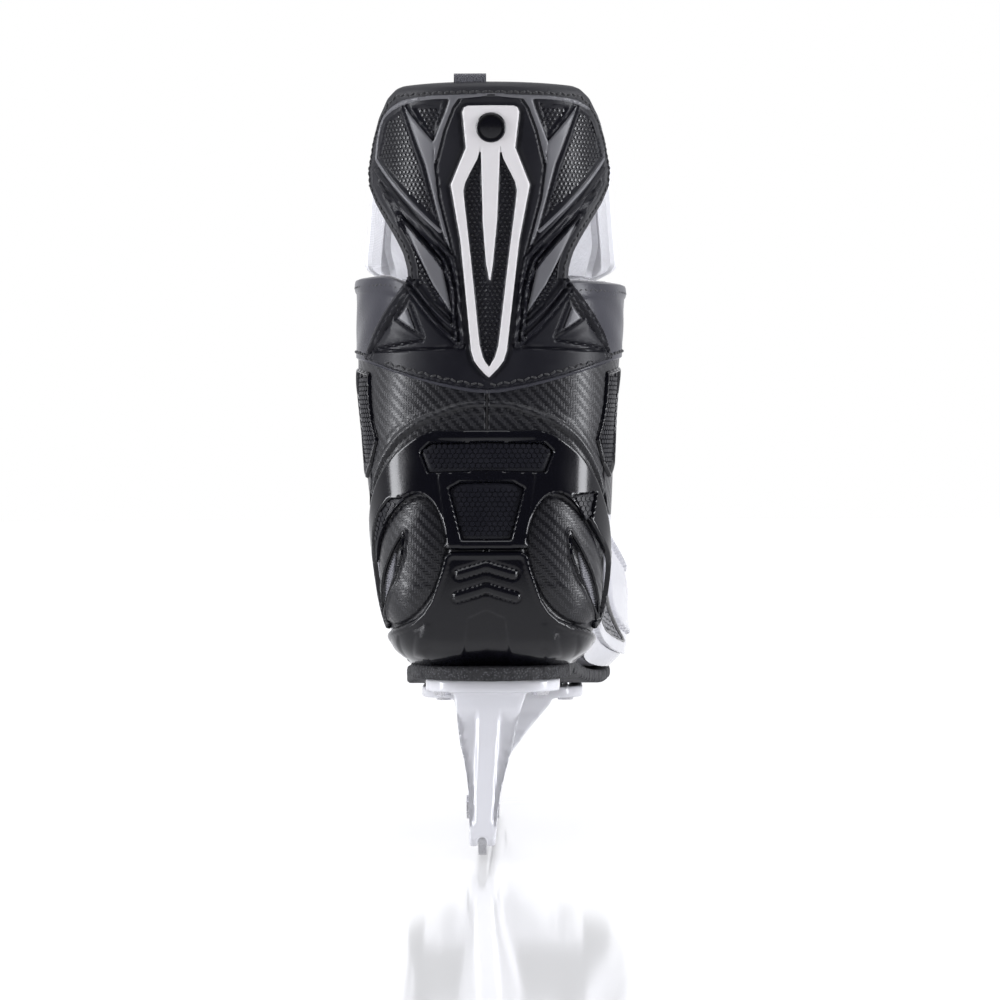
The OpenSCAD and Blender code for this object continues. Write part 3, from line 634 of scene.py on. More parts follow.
def inside_distance(s, z, points, rounding=0.0):
    """Signed distance to a closed outline, negative inside; rounding softens its corners."""
    points = np.array(points, float)
    best = line_distance(s, z, points, closed=True)
    within = np.zeros(np.shape(s), bool)
    for a, b in zip(points, np.roll(points, -1, axis=0)):
        spans = (a[1] > z) != (b[1] > z)
        rise = b[1] - a[1] if abs(b[1] - a[1]) > 1e-9 else 1e-9
        within ^= spans & (s < (b[0] - a[0]) * (z - a[1]) / rise + a[0])
    return np.where(within, -best, best) - rounding


def curve(points, steps=6):
    """A smooth line through the points."""
    p = np.array(points, float)
    p = np.vstack([2 * p[0] - p[1], p, 2 * p[-1] - p[-2]])
    line = []
    for k in range(1, len(p) - 2):
        for t in np.arange(steps) / steps:
            line.append(0.5 * (2 * p[k] + (p[k + 1] - p[k - 1]) * t
                + (2 * p[k - 1] - 5 * p[k] + 4 * p[k + 1] - p[k + 2]) * t * t
                + (3 * p[k] - p[k - 1] - 3 * p[k + 1] + p[k + 2]) * t ** 3))
    line.append(p[-2])
    return np.array(line)


def ridge(distance, half, height):
    return height * np.sqrt(np.clip(1 - (distance / half) ** 2, 0, 1))


def groove(distance, half, depth):
    return -depth * np.clip(1 - (distance / half) ** 2, 0, 1)


def roundover(distance, radius):
    """How far a rounded edge has dropped at a distance in from the border."""
    near = np.clip(1 - distance / radius, 0, 1)
    return radius * (1 - np.sqrt(1 - near * near))


# ---- Meshes -----------------------------------------------------------------------------------
def make_piece(name, points, faces, material, flat=None, crease=38.0):
    mesh = bpy.data.meshes.new(name)
    mesh.from_pydata((np.asarray(points) * MM).tolist(), [], [tuple(int(k) for k in f) for f in faces])
    if flat is not None:
        layer = mesh.uv_layers.new(name="flat")
        corner = np.zeros(len(mesh.loops), np.int32)
        mesh.loops.foreach_get("vertex_index", corner)
        layer.data.foreach_set("uv", (np.asarray(flat)[corner] * 0.1).ravel().astype(np.float32))
    mesh.shade_smooth()
    mesh.set_sharp_from_angle(angle=math.radians(crease))
    mesh.materials.append(material)
    piece = bpy.data.objects.new(name, mesh)
    bpy.context.collection.objects.link(piece)
    return piece


def vertex_values(mesh, name="co"):
    """Three values for each vertex, one row each."""
    values = np.zeros(len(mesh.vertices) * 3)
    mesh.vertices.foreach_get(name, values)
    return values.reshape(-1, 3)


def move_vertices(mesh, points):
    mesh.vertices.foreach_set("co", points.ravel())
    mesh.update()


def grid_solid(name, bottom, top, material, flat=None, crease=38.0):
    """A closed solid between two grids of points."""
    rows, columns = top.shape[0], top.shape[1]
    count = rows * columns
    index = np.arange(count).reshape(rows, columns)
    cell = np.stack([index[:-1, :-1], index[1:, :-1], index[1:, 1:], index[:-1, 1:]], -1).reshape(-1, 4)
    rim = np.concatenate([index[0, :-1], index[:-1, -1], index[-1, :0:-1], index[:0:-1, 0]])
    after = np.roll(rim, -1)
    i, j = rows // 2, columns // 2
    i, j = min(i, rows - 2), min(j, columns - 2)
    face_normal = np.cross(top[i + 1, j] - top[i, j], top[i, j + 1] - top[i, j])
    outward = np.dot(face_normal, top[i, j] - bottom[i, j]) > 0
    walls = np.stack([rim, after, after + count, rim + count], -1)
    upper = cell + count
    lower = cell[:, ::-1]
    faces = np.concatenate([upper, lower, walls])
    if not outward:
        faces = faces[:, ::-1]
    points = np.concatenate([bottom.reshape(-1, 3), top.reshape(-1, 3)])
    uv = None
    if flat is not None:
        uv = np.concatenate([flat.reshape(-1, 2)] * 2)
    return make_piece(name, points, faces, material, uv, crease)


def border_distance(points):
    """Distance of each grid point to the grid's border, measured along its rows and columns."""
    down = np.linalg.norm(np.diff(points, axis=0), axis=-1)
    down = np.vstack([np.zeros((1, points.shape[1])), np.cumsum(down, axis=0)])
    over = np.linalg.norm(np.diff(points, axis=1), axis=-1)
    over = np.hstack([np.zeros((points.shape[0], 1)), np.cumsum(over, axis=1)])
    ends = [down, down[-1:] - down, over, over[:, -1:] - over]
    return ends[0], ends[1], ends[2], ends[3]


def panel(name, place, rows, columns, low, high, material, radius=0.8, relief=None, edges=(1, 1, 1, 1)):
    """A patch of the boot's surface with a thickness, rounded along the chosen edges."""
    a, b = np.meshgrid(np.linspace(0, 1, rows + 1), np.linspace(0, 1, columns + 1), indexing="ij")
    u, angle = place(a, b)
    u, angle = np.broadcast_arrays(u, angle)
    base = last_point(u, angle)
    ends = border_distance(base)
    near = np.minimum.reduce([d for d, wanted in zip(ends, edges) if wanted] or [np.full(a.shape, 99.0)])
    top = high(a, b) if callable(high) else np.full(a.shape, float(high))
    bottom = low(a, b) if callable(low) else np.full(a.shape, float(low))
    s = unrolled(base[..., 2], angle)
    if relief:
        top = top + relief(s, base[..., 2], u, angle, a, b)
    top = top - roundover(near, radius)
    if angle.max() > 181 or u.min() < 9:
        flat = np.stack([ends[2], ends[0]], -1)
    else:
        flat = np.stack([s, base[..., 2]], -1)
    return grid_solid(name, skin(u, angle, bottom), skin(u, angle, top), material, flat)


def plate(name, shape, box, step, low, high, material, radius=0.5, relief=None, crease=42.0,
        locate=from_flat):
    """A moulded piece on the unrolled surface: it fills where shape(s, z) is negative."""
    s, z = np.meshgrid(np.arange(box[0], box[2] + step, step), np.arange(box[1], box[3] + step, step),
        indexing="ij")
    kept = shape(s, z) < 0.3 * step
    index = np.arange(s.size).reshape(s.shape)
    corners = [index[:-1, :-1], index[1:, :-1], index[1:, 1:], index[:-1, 1:]]
    have = [kept[:-1, :-1], kept[1:, :-1], kept[1:, 1:], kept[:-1, 1:]]
    total = sum(h.astype(int) for h in have)
    quads = np.stack([c[total == 4] for c in corners], -1)
    thirds = []
    for k in range(4):
        lone = (total == 3) & ~have[k]
        thirds.append(np.stack([corners[(k + 1) % 4][lone], corners[(k + 2) % 4][lone],
            corners[(k + 3) % 4][lone]], -1))
    thirds = np.concatenate(thirds)
    edges = np.concatenate([quads[:, [0, 1]], quads[:, [1, 2]], quads[:, [2, 3]], quads[:, [3, 0]],
        thirds[:, [0, 1]], thirds[:, [1, 2]], thirds[:, [2, 0]]])
    key = np.sort(edges, axis=1)
    _, first, number = np.unique(key, axis=0, return_index=True, return_counts=True)
    rim = edges[first[number == 1]]
    s, z = s.ravel().copy(), z.ravel().copy()
    border = np.unique(rim)
    slip = step * 0.2
    for _ in range(2):
        d = shape(s[border], z[border])
        ds = (shape(s[border] + slip, z[border]) - shape(s[border] - slip, z[border])) / (2 * slip)
        dz = (shape(s[border], z[border] + slip) - shape(s[border], z[border] - slip)) / (2 * slip)
        size = np.maximum(ds * ds + dz * dz, 0.3)
        s[border] -= np.clip(d * ds / size, -step, step)
        z[border] -= np.clip(d * dz / size, -step, step)
    used = np.unique(np.concatenate([quads.ravel(), thirds.ravel()]))
    place = np.full(s.size, -1)
    place[used] = np.arange(len(used))
    s, z = s[used], z[used]
    depth = np.maximum(-shape(s, z), 0)
    height = high + (relief(s, z) if relief else 0) - roundover(depth, radius)
    u, angle = locate(s, z)
    top = skin(u, angle, height)
    around = np.unique(place[rim])
    foot = np.full(len(used), -1)
    foot[around] = np.arange(len(around)) + len(used)
    under = skin(u[around], angle[around], np.full(len(around), float(low)))
    walls = np.stack([place[rim[:, 1]], place[rim[:, 0]], foot[place[rim[:, 0]]], foot[place[rim[:, 1]]]], -1)
    faces = [*place[quads].tolist(), *place[thirds].tolist(), *walls.tolist()]
    flat = np.stack([s, z], -1)
    if not turns_outward(top, quads, place, u, angle):
        faces = [f[::-1] for f in faces]
    return make_piece(name, np.concatenate([top, under]), faces, material,
        np.concatenate([flat, flat[around]]), crease)


def turns_outward(top, quads, place, u, angle):
    """True if the faces' corners run counter-clockwise seen from outside the boot."""
    a, b, c = (place[quads[len(quads) // 2, k]] for k in (0, 1, 2))
    return np.dot(np.cross(top[b] - top[a], top[c] - top[b]), last_normal(u[a], angle[a])) > 0


def lattice(shape, box, pitch, inset):
    """Centres of a close-packed pattern that lie well inside an outline."""
    rows = np.arange(box[1], box[3], pitch * math.sqrt(3) / 2)
    found = []
    for k, z in enumerate(rows):
        s = np.arange(box[0], box[2], pitch) + (k % 2) * pitch / 2
        found.append(np.stack([s, np.full(len(s), z)], -1))
    spots = np.concatenate(found)
    return spots[shape(spots[:, 0], spots[:, 1]) < -inset]


def studs(name, spots, low, height, radius, sides, material, profile=((1, 0), (0.86, 0.55), (0.5, 0.93)),
        locate=from_flat):
    """Small raised shapes, one at each unrolled spot, all in one piece."""
    turn = math.pi / 2
    rings = []
    for share, rise in profile:
        for k in range(sides):
            a = turn + k * math.tau / sides
            rings.append((share * radius * math.cos(a), share * radius * math.sin(a), low + rise * height))
    rings = np.array(rings)
    peak = np.array([[0, 0, low + height]])
    shape = np.vstack([rings, peak])
    s = (spots[:, None, 0] + shape[None, :, 0]).ravel()
    z = (spots[:, None, 1] + shape[None, :, 1]).ravel()
    depth = np.tile(shape[:, 2], len(spots))
    u, angle = locate(s, z)
    one = ring_faces(len(profile), sides)
    last = (len(profile) - 1) * sides
    for k in range(sides):
        one.append((last + k, last + (k + 1) % sides, len(shape) - 1))
    faces = [tuple(v + m * len(shape) for v in f) for m in range(len(spots)) for f in one]
    return make_piece(name, skin(u, angle, depth), faces, material, np.stack([s, z], -1))


def ring_faces(rings, sides, base=0):
    """Quads that join each ring of points to the next."""
    return [(base + r * sides + k, base + r * sides + (k + 1) % sides,
        base + (r + 1) * sides + (k + 1) % sides, base + (r + 1) * sides + k)
        for r in range(rings - 1) for k in range(sides)]


def spaced(points, gap):
    """Points at an even spacing along a line, with the direction at each."""
    points = np.asarray(points, float)
    step = np.linalg.norm(np.diff(points, axis=0), axis=1)
    run = np.concatenate([[0], np.cumsum(step)])
    count = max(int(run[-1] / gap), 1)
    at = (np.arange(count) + 0.5) * run[-1] / count
    spots = np.stack([np.interp(at, run, points[:, k]) for k in range(3)], -1)
    ahead = np.stack([np.interp(at + 0.3, run, points[:, k]) for k in range(3)], -1)
    back = np.stack([np.interp(at - 0.3, run, points[:, k]) for k in range(3)], -1)
    way = ahead - back
    return spots, way / np.maximum(np.linalg.norm(way, axis=1, keepdims=True), 1e-9)


def stitches(name, line, out, material, gap=2.6, length=2.1, thick=0.42, slant=22.0):
    """Thread stitches along a line: out gives the direction away from the surface at its points."""
    spots, way = spaced(line, gap)
    near = np.argmin(np.linalg.norm(spots[:, None] - np.asarray(line)[None], axis=-1), axis=1)
    up = np.asarray(out)[near]
    side = np.cross(up, way)
    lean = np.radians(slant) * np.where(np.arange(len(spots)) % 2, 1, -1)[:, None]
    axis = way * np.cos(lean) + side * np.sin(lean)
    wide = np.cross(up, axis)
    points, faces = [], []
    rings = [(-0.5, 0.0), (-0.40, 0.75), (0.0, 1.0), (0.40, 0.75), (0.5, 0.0)]
    sides = 6
    for m in range(len(spots)):
        base = len(points)
        for along, swell in rings:
            for k in range(sides):
                a = k * math.tau / sides
                points.append(spots[m] + axis[m] * along * length + (wide[m] * math.cos(a) * thick
                    + up[m] * (math.sin(a) * thick * 0.9 - abs(along) * thick * 1.2)) * max(swell, 0.12))
        faces.extend(ring_faces(len(rings), sides, base))
        faces.append(tuple(base + k for k in range(sides))[::-1])
        faces.append(tuple(base + (len(rings) - 1) * sides + k for k in range(sides)))
    return make_piece(name, points, faces, material, crease=60)


def surface_line(places, depth):
    """Points of a line on the boot's surface and the outward direction at each."""
    places = np.array(places, float)
    u, angle = places[:, 0], places[:, 1]
    return skin(u, angle, np.full(len(u), float(depth))), last_normal(u, angle)


def dress(node, material):
    """Gives a CAD node its finish."""
    CAD[node].data.materials.clear()
    CAD[node].data.materials.append(material)
    CAD[node].data.shade_smooth()
    CAD[node].data.set_sharp_from_angle(angle=math.radians(30))


def soften(node, name, voxel, passes, material, body="boot"):
    """A copy of a CAD node with its edges melted round, as a moulding has them."""
    piece = CAD[node].copy()
    piece.data = CAD[node].data.copy()
    piece.name = name
    piece.data.name = name
    piece.parent = None
    for key in list(piece.keys()):
        del piece[key]
    bpy.context.collection.objects.link(piece)
    melt = piece.modifiers.new("melt", "REMESH")
    melt.mode = "VOXEL"
    melt.voxel_size = voxel * MM
    melt.adaptivity = 0
    ease = piece.modifiers.new("ease", "SMOOTH")
    ease.factor = 0.5
    ease.iterations = passes
    graph = bpy.context.evaluated_depsgraph_get()
    mesh = bpy.data.meshes.new_from_object(piece.evaluated_get(graph))
    piece.modifiers.clear()
    piece.data = mesh
    mesh.name = name
    mesh.materials.clear()
    mesh.materials.append(material)
    mesh.shade_smooth()
    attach(piece, body)
    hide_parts(node)
    return piece


def settle(piece, body, *nodes, slot=None):
    """Ties a piece to a body, and hides the CAD nodes it stands for."""
    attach(piece, body)
    if nodes:
        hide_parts(*nodes)
    return piece


# ---- Tendon guard and its skirt ---------------------------------------------------------------
CENTRE = -8      # half outlines run past the middle of the back, which mirrors them
INLAY = [(CENTRE, 272.8), (8.0, 272.7), (9.3, 272.2), (9.9, 270.8), (8.6, 258.0), (13.8, 244.8),
    (10.3, 225.0), (6.3, 185.0), (5.2, 181.2), (3.2, 178.4), (0.1, 175.2), (CENTRE, 175.2)]
INLAY_OPEN = [(CENTRE, 258), (3.5, 258), (4.6, 254), (7.0, 249.4), (8.8, 245.6), (9.4, 242.8), (9.0, 238.2),
    (6.6, 217.6), (3.4, 187.2), (2.2, 182.6), (0.1, 179.0), (CENTRE, 179.0)]
SPEAR = [(CENTRE, 260), (3.4, 259), (2.5, 232), (1.1, 216), (0.2, 210.2), (CENTRE, 210.2)]
SIDE_PANEL = [(33.4, 272.2), (41.3, 268.7), (45.8, 256), (18.4, 231.0), (25.2, 251.4)]
TOP_PANEL = [(28.6, 273.0), (16.8, 274.0), (20.3, 261.4)]
STRIP = [(36.6, 237.0), (31.2, 224.0), (28.0, 212.4), (20.6, 203.4), (13.7, 197.9), (21.3, 212.2)]
GREY_STEM = [(31.8, 273.4), (23.2, 252.5), (16.7, 228.2), (13.5, 220.5), (18.5, 240), (19.9, 251.5),
    (20.3, 260.2)]
GREY_ARM = [(20.3, 260.2), (19.5, 253), (16.6, 264.5), (13.6, 272.3), (11.2, 275.0), (14.6, 274.3)]
GREY_SPEAR = [(33.1, 234.6), (17.3, 217.4), (13.2, 198.6), (20.0, 209.0)]
GREY_RIM = [(0, 276.0), (11.4, 275.3), (22, 275.3), (32.8, 274.2), (41.4, 270.9), (45.4, 264.5),
    (47.2, 255.6), (17.6, 228.2)]
RIDGES = [
    ([(46.6, 251.6), (17.2, 222.8), (12.4, 214.5), (10.6, 198), (9.6, 188)], 0.85),
    ([(44.0, 246.4), (16.4, 218.4), (11.5, 189.5)], 0.8),
    ([(40.4, 242.0), (16.0, 214.2), (12.6, 197.4)], 0.7),
    ([(30.0, 213.2), (20.6, 201.4), (12.4, 193.2)], 0.8),
    ([(30.2, 209.2), (19.0, 195.5), (9.8, 186.6)], 0.8),
]
SKIRT_SIDE = [(29.6, 210.6), (34.6, 206.0), (41.2, 198.2), (45.6, 191.6), (49.6, 184.9), (51.2, 182.2)]
SKIRT_GROOVES = [
    [(29.2, 206.6), (46.6, 184.9), (12.0, 186.2)],
    [(29.4, 204.2), (34.8, 196.9), (23.6, 190.2), (29.4, 204.2)],
    [(37.0, 195.6), (45.4, 185.9), (24.0, 188.9)],
]
SKIRT_TRIANGLE = [(30.1, 200.9), (33.7, 197.0), (26.9, 192.9)]


def upright(s, z):
    """Distance from the middle of the guard's pattern, which leans a little to the outside."""
    return np.abs(s - 0.65 - 0.8 * (z - 174) / 99)


def guard_outline(inset):
    """Half outline of the flap and its skirt, up the side from the stitched seam."""
    foot = [(s, seam_z(back_angle(np.array(s * 0.9)))) for s in (0.0, 12, 24, 36, 45)]
    foot = [(s, float(z)) for s, z in foot]
    rise = [(50.8 - inset * 0.3, 182.4), (45.4, 191.8), (40.9, 198.0), (34.4, 205.6), (30.4, 209.8)]
    heights = [213, 217, 221, 225, 229, 233, 237, 241, 246, 252, 258, 263, 268, 271, 273.5, 275.5, 276.8]
    side = [(float(unrolled(np.array(float(z)), guard_angle(z, inset))), z) for z in heights]
    crown = side[-1][0]
    top = [(crown - 4, 277.6), (crown * 0.5, 278.3), (CENTRE, 278.4)]
    return [(CENTRE, foot[0][1]), *foot, *rise, *side, *top]


def guard_shape(s, z):
    return inside_distance(np.abs(s), z, GUARD_LINE, 0.0)


GUARD_LINE = guard_outline(2.6)


def guard_height(s, z):
    """Relief of the black moulding: sunk panels, ridges and grooves over a smooth field."""
    a = upright(s, z)
    field = np.zeros(np.shape(s))
    for outline, depth in ((SIDE_PANEL, 0.9), (TOP_PANEL, 0.8), (STRIP, 0.8)):
        field = field - depth * smooth((-inside_distance(a, z, outline) + 0.1) / 0.7)
    window = np.maximum(inside_distance(a, z, INLAY_OPEN), -inside_distance(a, z, SPEAR))
    field = field - 0.8 * smooth((-window + 0.1) / 0.7)
    moat = inside_distance(a, z, INLAY)
    field = field + groove(np.abs(moat - 0.9), 0.9, 0.7)
    for outline in (GREY_STEM, GREY_ARM, GREY_SPEAR):
        field = field + groove(np.abs(inside_distance(a, z, outline) - 0.6), 0.6, 0.6)
    for points, half in RIDGES:
        d = line_distance(a, z, curve(points, 5))
        field = field + ridge(d, half, 0.85) + groove(np.abs(d - half - 0.35), 0.5, 0.45)
    side = line_distance(a, z, curve(SKIRT_SIDE, 5))
    field = field + ridge(np.abs(side - 1.1), 0.8, 0.8) + ridge(np.abs(side - 3.5), 0.8, 0.7)
    for points in SKIRT_GROOVES:
        field = field + groove(line_distance(a, z, points), 0.6, 0.9)
    facet = inside_distance(a, z, SKIRT_GROOVES[1])
    field = field - 0.5 * smooth(-facet / 0.8)
    wedge = inside_distance(a, z, [(37.0, 195.6), (45.4, 185.9), (24.0, 188.9)])
    field = field + 0.45 * smooth(-wedge / 3.0)
    return field


def grey_shape(s, z):
    a = upright(s, z)
    parts = [inside_distance(a, z, p) for p in (GREY_STEM, GREY_ARM, GREY_SPEAR, SKIRT_TRIANGLE)]
    parts.append(line_distance(a, z, curve(GREY_RIM[:-1], 4)) - 0.62)
    parts.append(line_distance(a, z, GREY_RIM[-2:]) - 0.62)
    return np.minimum.reduce(parts)


def white_shape(s, z):
    a = upright(s, z)
    frame_part = np.maximum(inside_distance(a, z, INLAY), -inside_distance(a, z, INLAY_OPEN))
    spear = inside_distance(a, z, SPEAR)
    return np.minimum(frame_part, np.maximum(spear, z - 259.0))


def dot_shape(s, z):
    a = upright(s, z)
    window = np.maximum(inside_distance(a, z, INLAY_OPEN), -inside_distance(a, z, SPEAR))
    return np.minimum.reduce([window, inside_distance(a, z, SIDE_PANEL), inside_distance(a, z, STRIP),
        inside_distance(a, z, TOP_PANEL)])


def raise_crown(piece):
    """The flap's top edge is arched, so its middle stands a little higher."""
    mesh = piece.data
    co = vertex_values(mesh)
    x, z = co[:, 0] / MM, co[:, 2] / MM
    co[:, 2] += MM * 1.9 * smooth((z - 270.5) / 8) * np.clip(1 - (x / 56) ** 2, 0, 1)
    move_vertices(mesh, co)


def bend_guard(piece):
    """Flap and skirt are one moulding: raises its arched crown and bakes its placing."""
    raise_crown(piece)
    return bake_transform(piece)


def build_guard():
    black = satin_black("guard_black", 0.36)
    step = 0.5
    box = (-53, 170, 53, 279)
    moulding = plate("guard_moulding", guard_shape, box, step, 0.0, 2.1, black, 0.7, guard_height)
    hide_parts("tendon_guard", "guard_skirt")
    bend_guard(moulding)
    white = plate("guard_frame_white", white_shape, (-15, 174, 17, 273.6), 0.42, 1.2, 2.95,
        white_paint(), 0.4)
    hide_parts("guard_inlay", "guard_inlay_tip")
    bend_guard(white)
    grey = plate("guard_inlays_grey", grey_shape, (-48.5, 192, 48.5, 277), 0.42, 0.8, 2.5,
        painted_grey(), 0.35)
    bend_guard(grey)
    spots = lattice(dot_shape, (-47, 176, 49, 275), 1.78, 0.75)
    grip = Shader("grip_black", (0.006, 0.006, 0.009), 0.24, specular=0.6)
    grip.rough(grip.noise(400, 3), 0.18, 0.32)
    dots = studs("guard_grip_dots", spots, 1.05, 0.62, 0.78, 10, grip.material,
        ((1, 0), (0.90, 0.45), (0.62, 0.86)))
    bend_guard(dots)
    build_stud()


def build_stud():
    """A plain domed stud in a turned ring, where the frame's head is widest."""
    u, angle = from_flat(np.array([1.5]), np.array([265.2]))
    centre = skin(u, angle, np.array([2.7]))[0]
    out = last_normal(u, angle)[0]
    profile = [(0, 1.35), (1.6, 1.3), (3.0, 1.12), (3.9, 0.8), (4.05, 0.45), (4.3, 0.45), (4.5, 0.9),
        (5.0, 1.0), (5.35, 0.75), (5.45, 0.2), (5.45, -0.3)]
    sides = 64
    across = np.array([1.0, 0, 0])
    upward = np.cross(across, out)
    points, faces = [], []
    for radius, rise in profile:
        for k in range(sides):
            a = k * math.tau / sides
            points.append(centre + out * rise + radius * (across * math.cos(a) + upward * math.sin(a)))
    for r in range(len(profile) - 1):
        for k in range(sides):
            n = (k + 1) % sides
            faces.append((r * sides + k, (r + 1) * sides + k, (r + 1) * sides + n, r * sides + n))
    stud = make_piece("guard_stud_cap", points, [f[::-1] for f in faces], gloss_black("stud_black", 0.2))
    settle(stud, "guard", "guard_stud", slot="stud_black")


def build_binding():
    """Synthetic-leather edge folded over the flap, with its stitched line."""
    leather = grained_black("binding_black", (0.016, 0.016, 0.019), 0.5)
    steps = 60
    bend = np.linspace(0, 1, steps + 1)
    z = FLEX_Z + 1.2 + (GUARD_TOP - 2.2 - FLEX_Z - 1.2) * np.sin(bend * math.pi / 2)
    side = [(float(v), float(guard_angle(v, 0.9))) for v in z]
    across = np.linspace(1, 0, 16)[1:]
    crown_angle = side[-1][1]
    half = [*side, *[(GUARD_TOP - 2.2, crown_angle * float(t)) for t in across]]
    path = [*half, *[(v, -t) for v, t in half[-2::-1]]]
    zs = np.array([p[0] for p in path])
    angles = np.array([p[1] for p in path])
    places = np.stack([u_at_z(zs, angles), angles], -1)
    spine, out = surface_line(places, 0.0)
    way = np.gradient(spine, axis=0)
    way /= np.linalg.norm(way, axis=1, keepdims=True)
    inward = np.cross(out, way)
    inward /= np.linalg.norm(inward, axis=1, keepdims=True)
    centre = np.array([2.0, -128, 245])
    flip = np.sign(np.sum(inward * (centre - spine), -1, keepdims=True))
    inward *= np.where(flip == 0, 1, flip)
    profile = [(4.6, 1.5), (3.6, 2.35), (2.2, 2.6), (0.9, 2.35), (-0.3, 1.3), (-0.9, -0.6), (-1.1, -3.2),
        (-0.8, -5.6), (0.0, -7.0), (1.6, -7.8), (3.4, -7.7), (4.6, -6.8)]
    rings = np.stack([spine + inward * p + out * q for p, q in profile], 1)
    core = np.stack([spine + inward * 2.4 + out * (q * 0.8 - 0.3) for p, q in profile], 1)
    flat = np.stack(np.meshgrid(np.arange(len(spine)) * 3.0, np.arange(len(profile)) * 1.5,
        indexing="ij"), -1)
    binding = grid_solid("guard_edge_binding", core, rings, leather, flat, 60)
    round_off(binding, 1)
    raise_crown(binding)
    settle(binding, "guard", "guard_binding", slot="binding_tape")
    line = spine + inward * 2.4 + out * 2.75
    thread = stitches("guard_edge_stitches", line, out, thread_black(), 2.3, 1.9, 0.36, 14)
    raise_crown(thread)
    settle(thread, "guard", slot="binding_tape")


def round_off(piece, levels):
    """Subdivides a mesh smoothly and keeps the result."""
    part = piece.modifiers.new("round", "SUBSURF")
    part.levels = levels
    part.render_levels = levels
    graph = bpy.context.evaluated_depsgraph_get()
    mesh = bpy.data.meshes.new_from_object(piece.evaluated_get(graph))
    piece.modifiers.clear()
    piece.data = mesh
    mesh.shade_smooth()
    return piece


def puff(piece, voxel, pressure, cap, relax=3):
    """Fills a fabric pad by cloth simulation, then smooths it and caps how far it swells."""
    melt = piece.modifiers.new("melt", "REMESH")
    melt.mode = "VOXEL"
    melt.voxel_size = voxel * MM
    graph = bpy.context.evaluated_depsgraph_get()
    mesh = bpy.data.meshes.new_from_object(piece.evaluated_get(graph))
    material = piece.data.materials[0]
    piece.modifiers.clear()
    piece.data = mesh
    mesh.materials.clear()
    mesh.materials.append(material)
    before = np.zeros(len(mesh.vertices) * 3)
    mesh.vertices.foreach_get("co", before)
    cloth = piece.modifiers.new("cloth", "CLOTH")
    cloth.settings.use_pressure = True
    cloth.settings.uniform_pressure_force = pressure
    cloth.settings.effector_weights.gravity = 0
    cloth.settings.quality = 5
    scene = bpy.context.scene
    for number in range(1, 15):
        scene.frame_set(number)
    graph = bpy.context.evaluated_depsgraph_get()
    filled = bpy.data.meshes.new_from_object(piece.evaluated_get(graph))
    after = np.zeros(len(filled.vertices) * 3)
    filled.vertices.foreach_get("co", after)
    piece.modifiers.clear()
    scene.frame_set(1)
    move = (after - before).reshape(-1, 3)
    far = np.linalg.norm(move, axis=1, keepdims=True)
    move *= np.minimum(1, cap * MM / np.maximum(far, 1e-9))
    mesh.vertices.foreach_set("co", (before.reshape(-1, 3) + move).ravel())
    ease = piece.modifiers.new("ease", "SMOOTH")
    ease.iterations = relax
    graph = bpy.context.evaluated_depsgraph_get()
    mesh = bpy.data.meshes.new_from_object(piece.evaluated_get(graph))
    piece.modifiers.clear()
    piece.data = mesh
    return round_off(piece, 1)


def pillow(a, b, edge=0.14):
    """1 in the middle of a patch, falling to 0 along its border."""
    near = np.minimum(np.minimum(a, 1 - a), np.minimum(b, 1 - b)) / edge
    return np.sqrt(np.clip(1 - (1 - np.clip(near, 0, 1)) ** 2, 0, 1))


def build_guard_padding():
    """Foam-filled lining of the flap."""
    nap = fleece("guard_lining", (0.030, 0.030, 0.034))

    def place(a, b):
        z = mix(FLEX_Z + 1.5, GUARD_TOP - 3.2, a)
        angle = guard_angle(z, 3.6) * (2 * b - 1)
        return u_at_z(z, angle), angle

    pad = panel("guard_pad", place, 26, 28, lambda a, b: -3.2 - 3.4 * pillow(a, b), -0.5, nap, 0.5)
    puff(pad, 2.2, 1.5, 1.0)
    raise_crown(pad)
    settle(pad, "guard", "guard_padding", slot="guard_black")


def build_loop():
    """Finger loop of folded webbing, sewn in at the top of the flap."""
    low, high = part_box("pull_loop")
    web = fabric("loop_webbing", (0.060, 0.060, 0.072), 9.0, 0.8, 0.0003)
    width = (high.x - low.x) / MM
    middle = (low.x + high.x) / 2 / MM
    y = (low.y + high.y) / 2 / MM
    top = high.z / MM
    half, thick, reach = 1.6, 0.65, 7.0
    path = [(-half, top - reach), (-half, top - 1.9)]
    for k in range(1, 8):
        a = math.pi * (1 - k / 8)
        path.append((half * math.cos(a), top - 1.3 + 1.0 * math.sin(a)))
    path += [(half, top - 1.9), (half, top - reach)]
    path = np.array(path)
    way = np.gradient(path, axis=0)
    way /= np.linalg.norm(way, axis=1, keepdims=True)
    side = np.stack([-way[:, 1], way[:, 0]], -1)
    columns = 12
    xs = middle + width * (np.linspace(0, 1, columns + 1) - 0.5)
    edge = 0.25 * (np.abs(np.linspace(-1, 1, columns + 1)) > 0.85)

    def wall(offset):
        return np.array([[(x, y + p[0] + n[0] * (offset - np.sign(offset) * e), p[1] + n[1] * offset)
            for x, e in zip(xs, edge)] for p, n in zip(path, side)])

    flat = np.stack(np.meshgrid(np.arange(len(path)) * 1.0, xs, indexing="ij"), -1)
    loop = grid_solid("pull_loop_webbing", wall(-thick / 2), wall(thick / 2), web, flat, 50)
    settle(loop, "guard", "pull_loop", slot="loop_webbing")


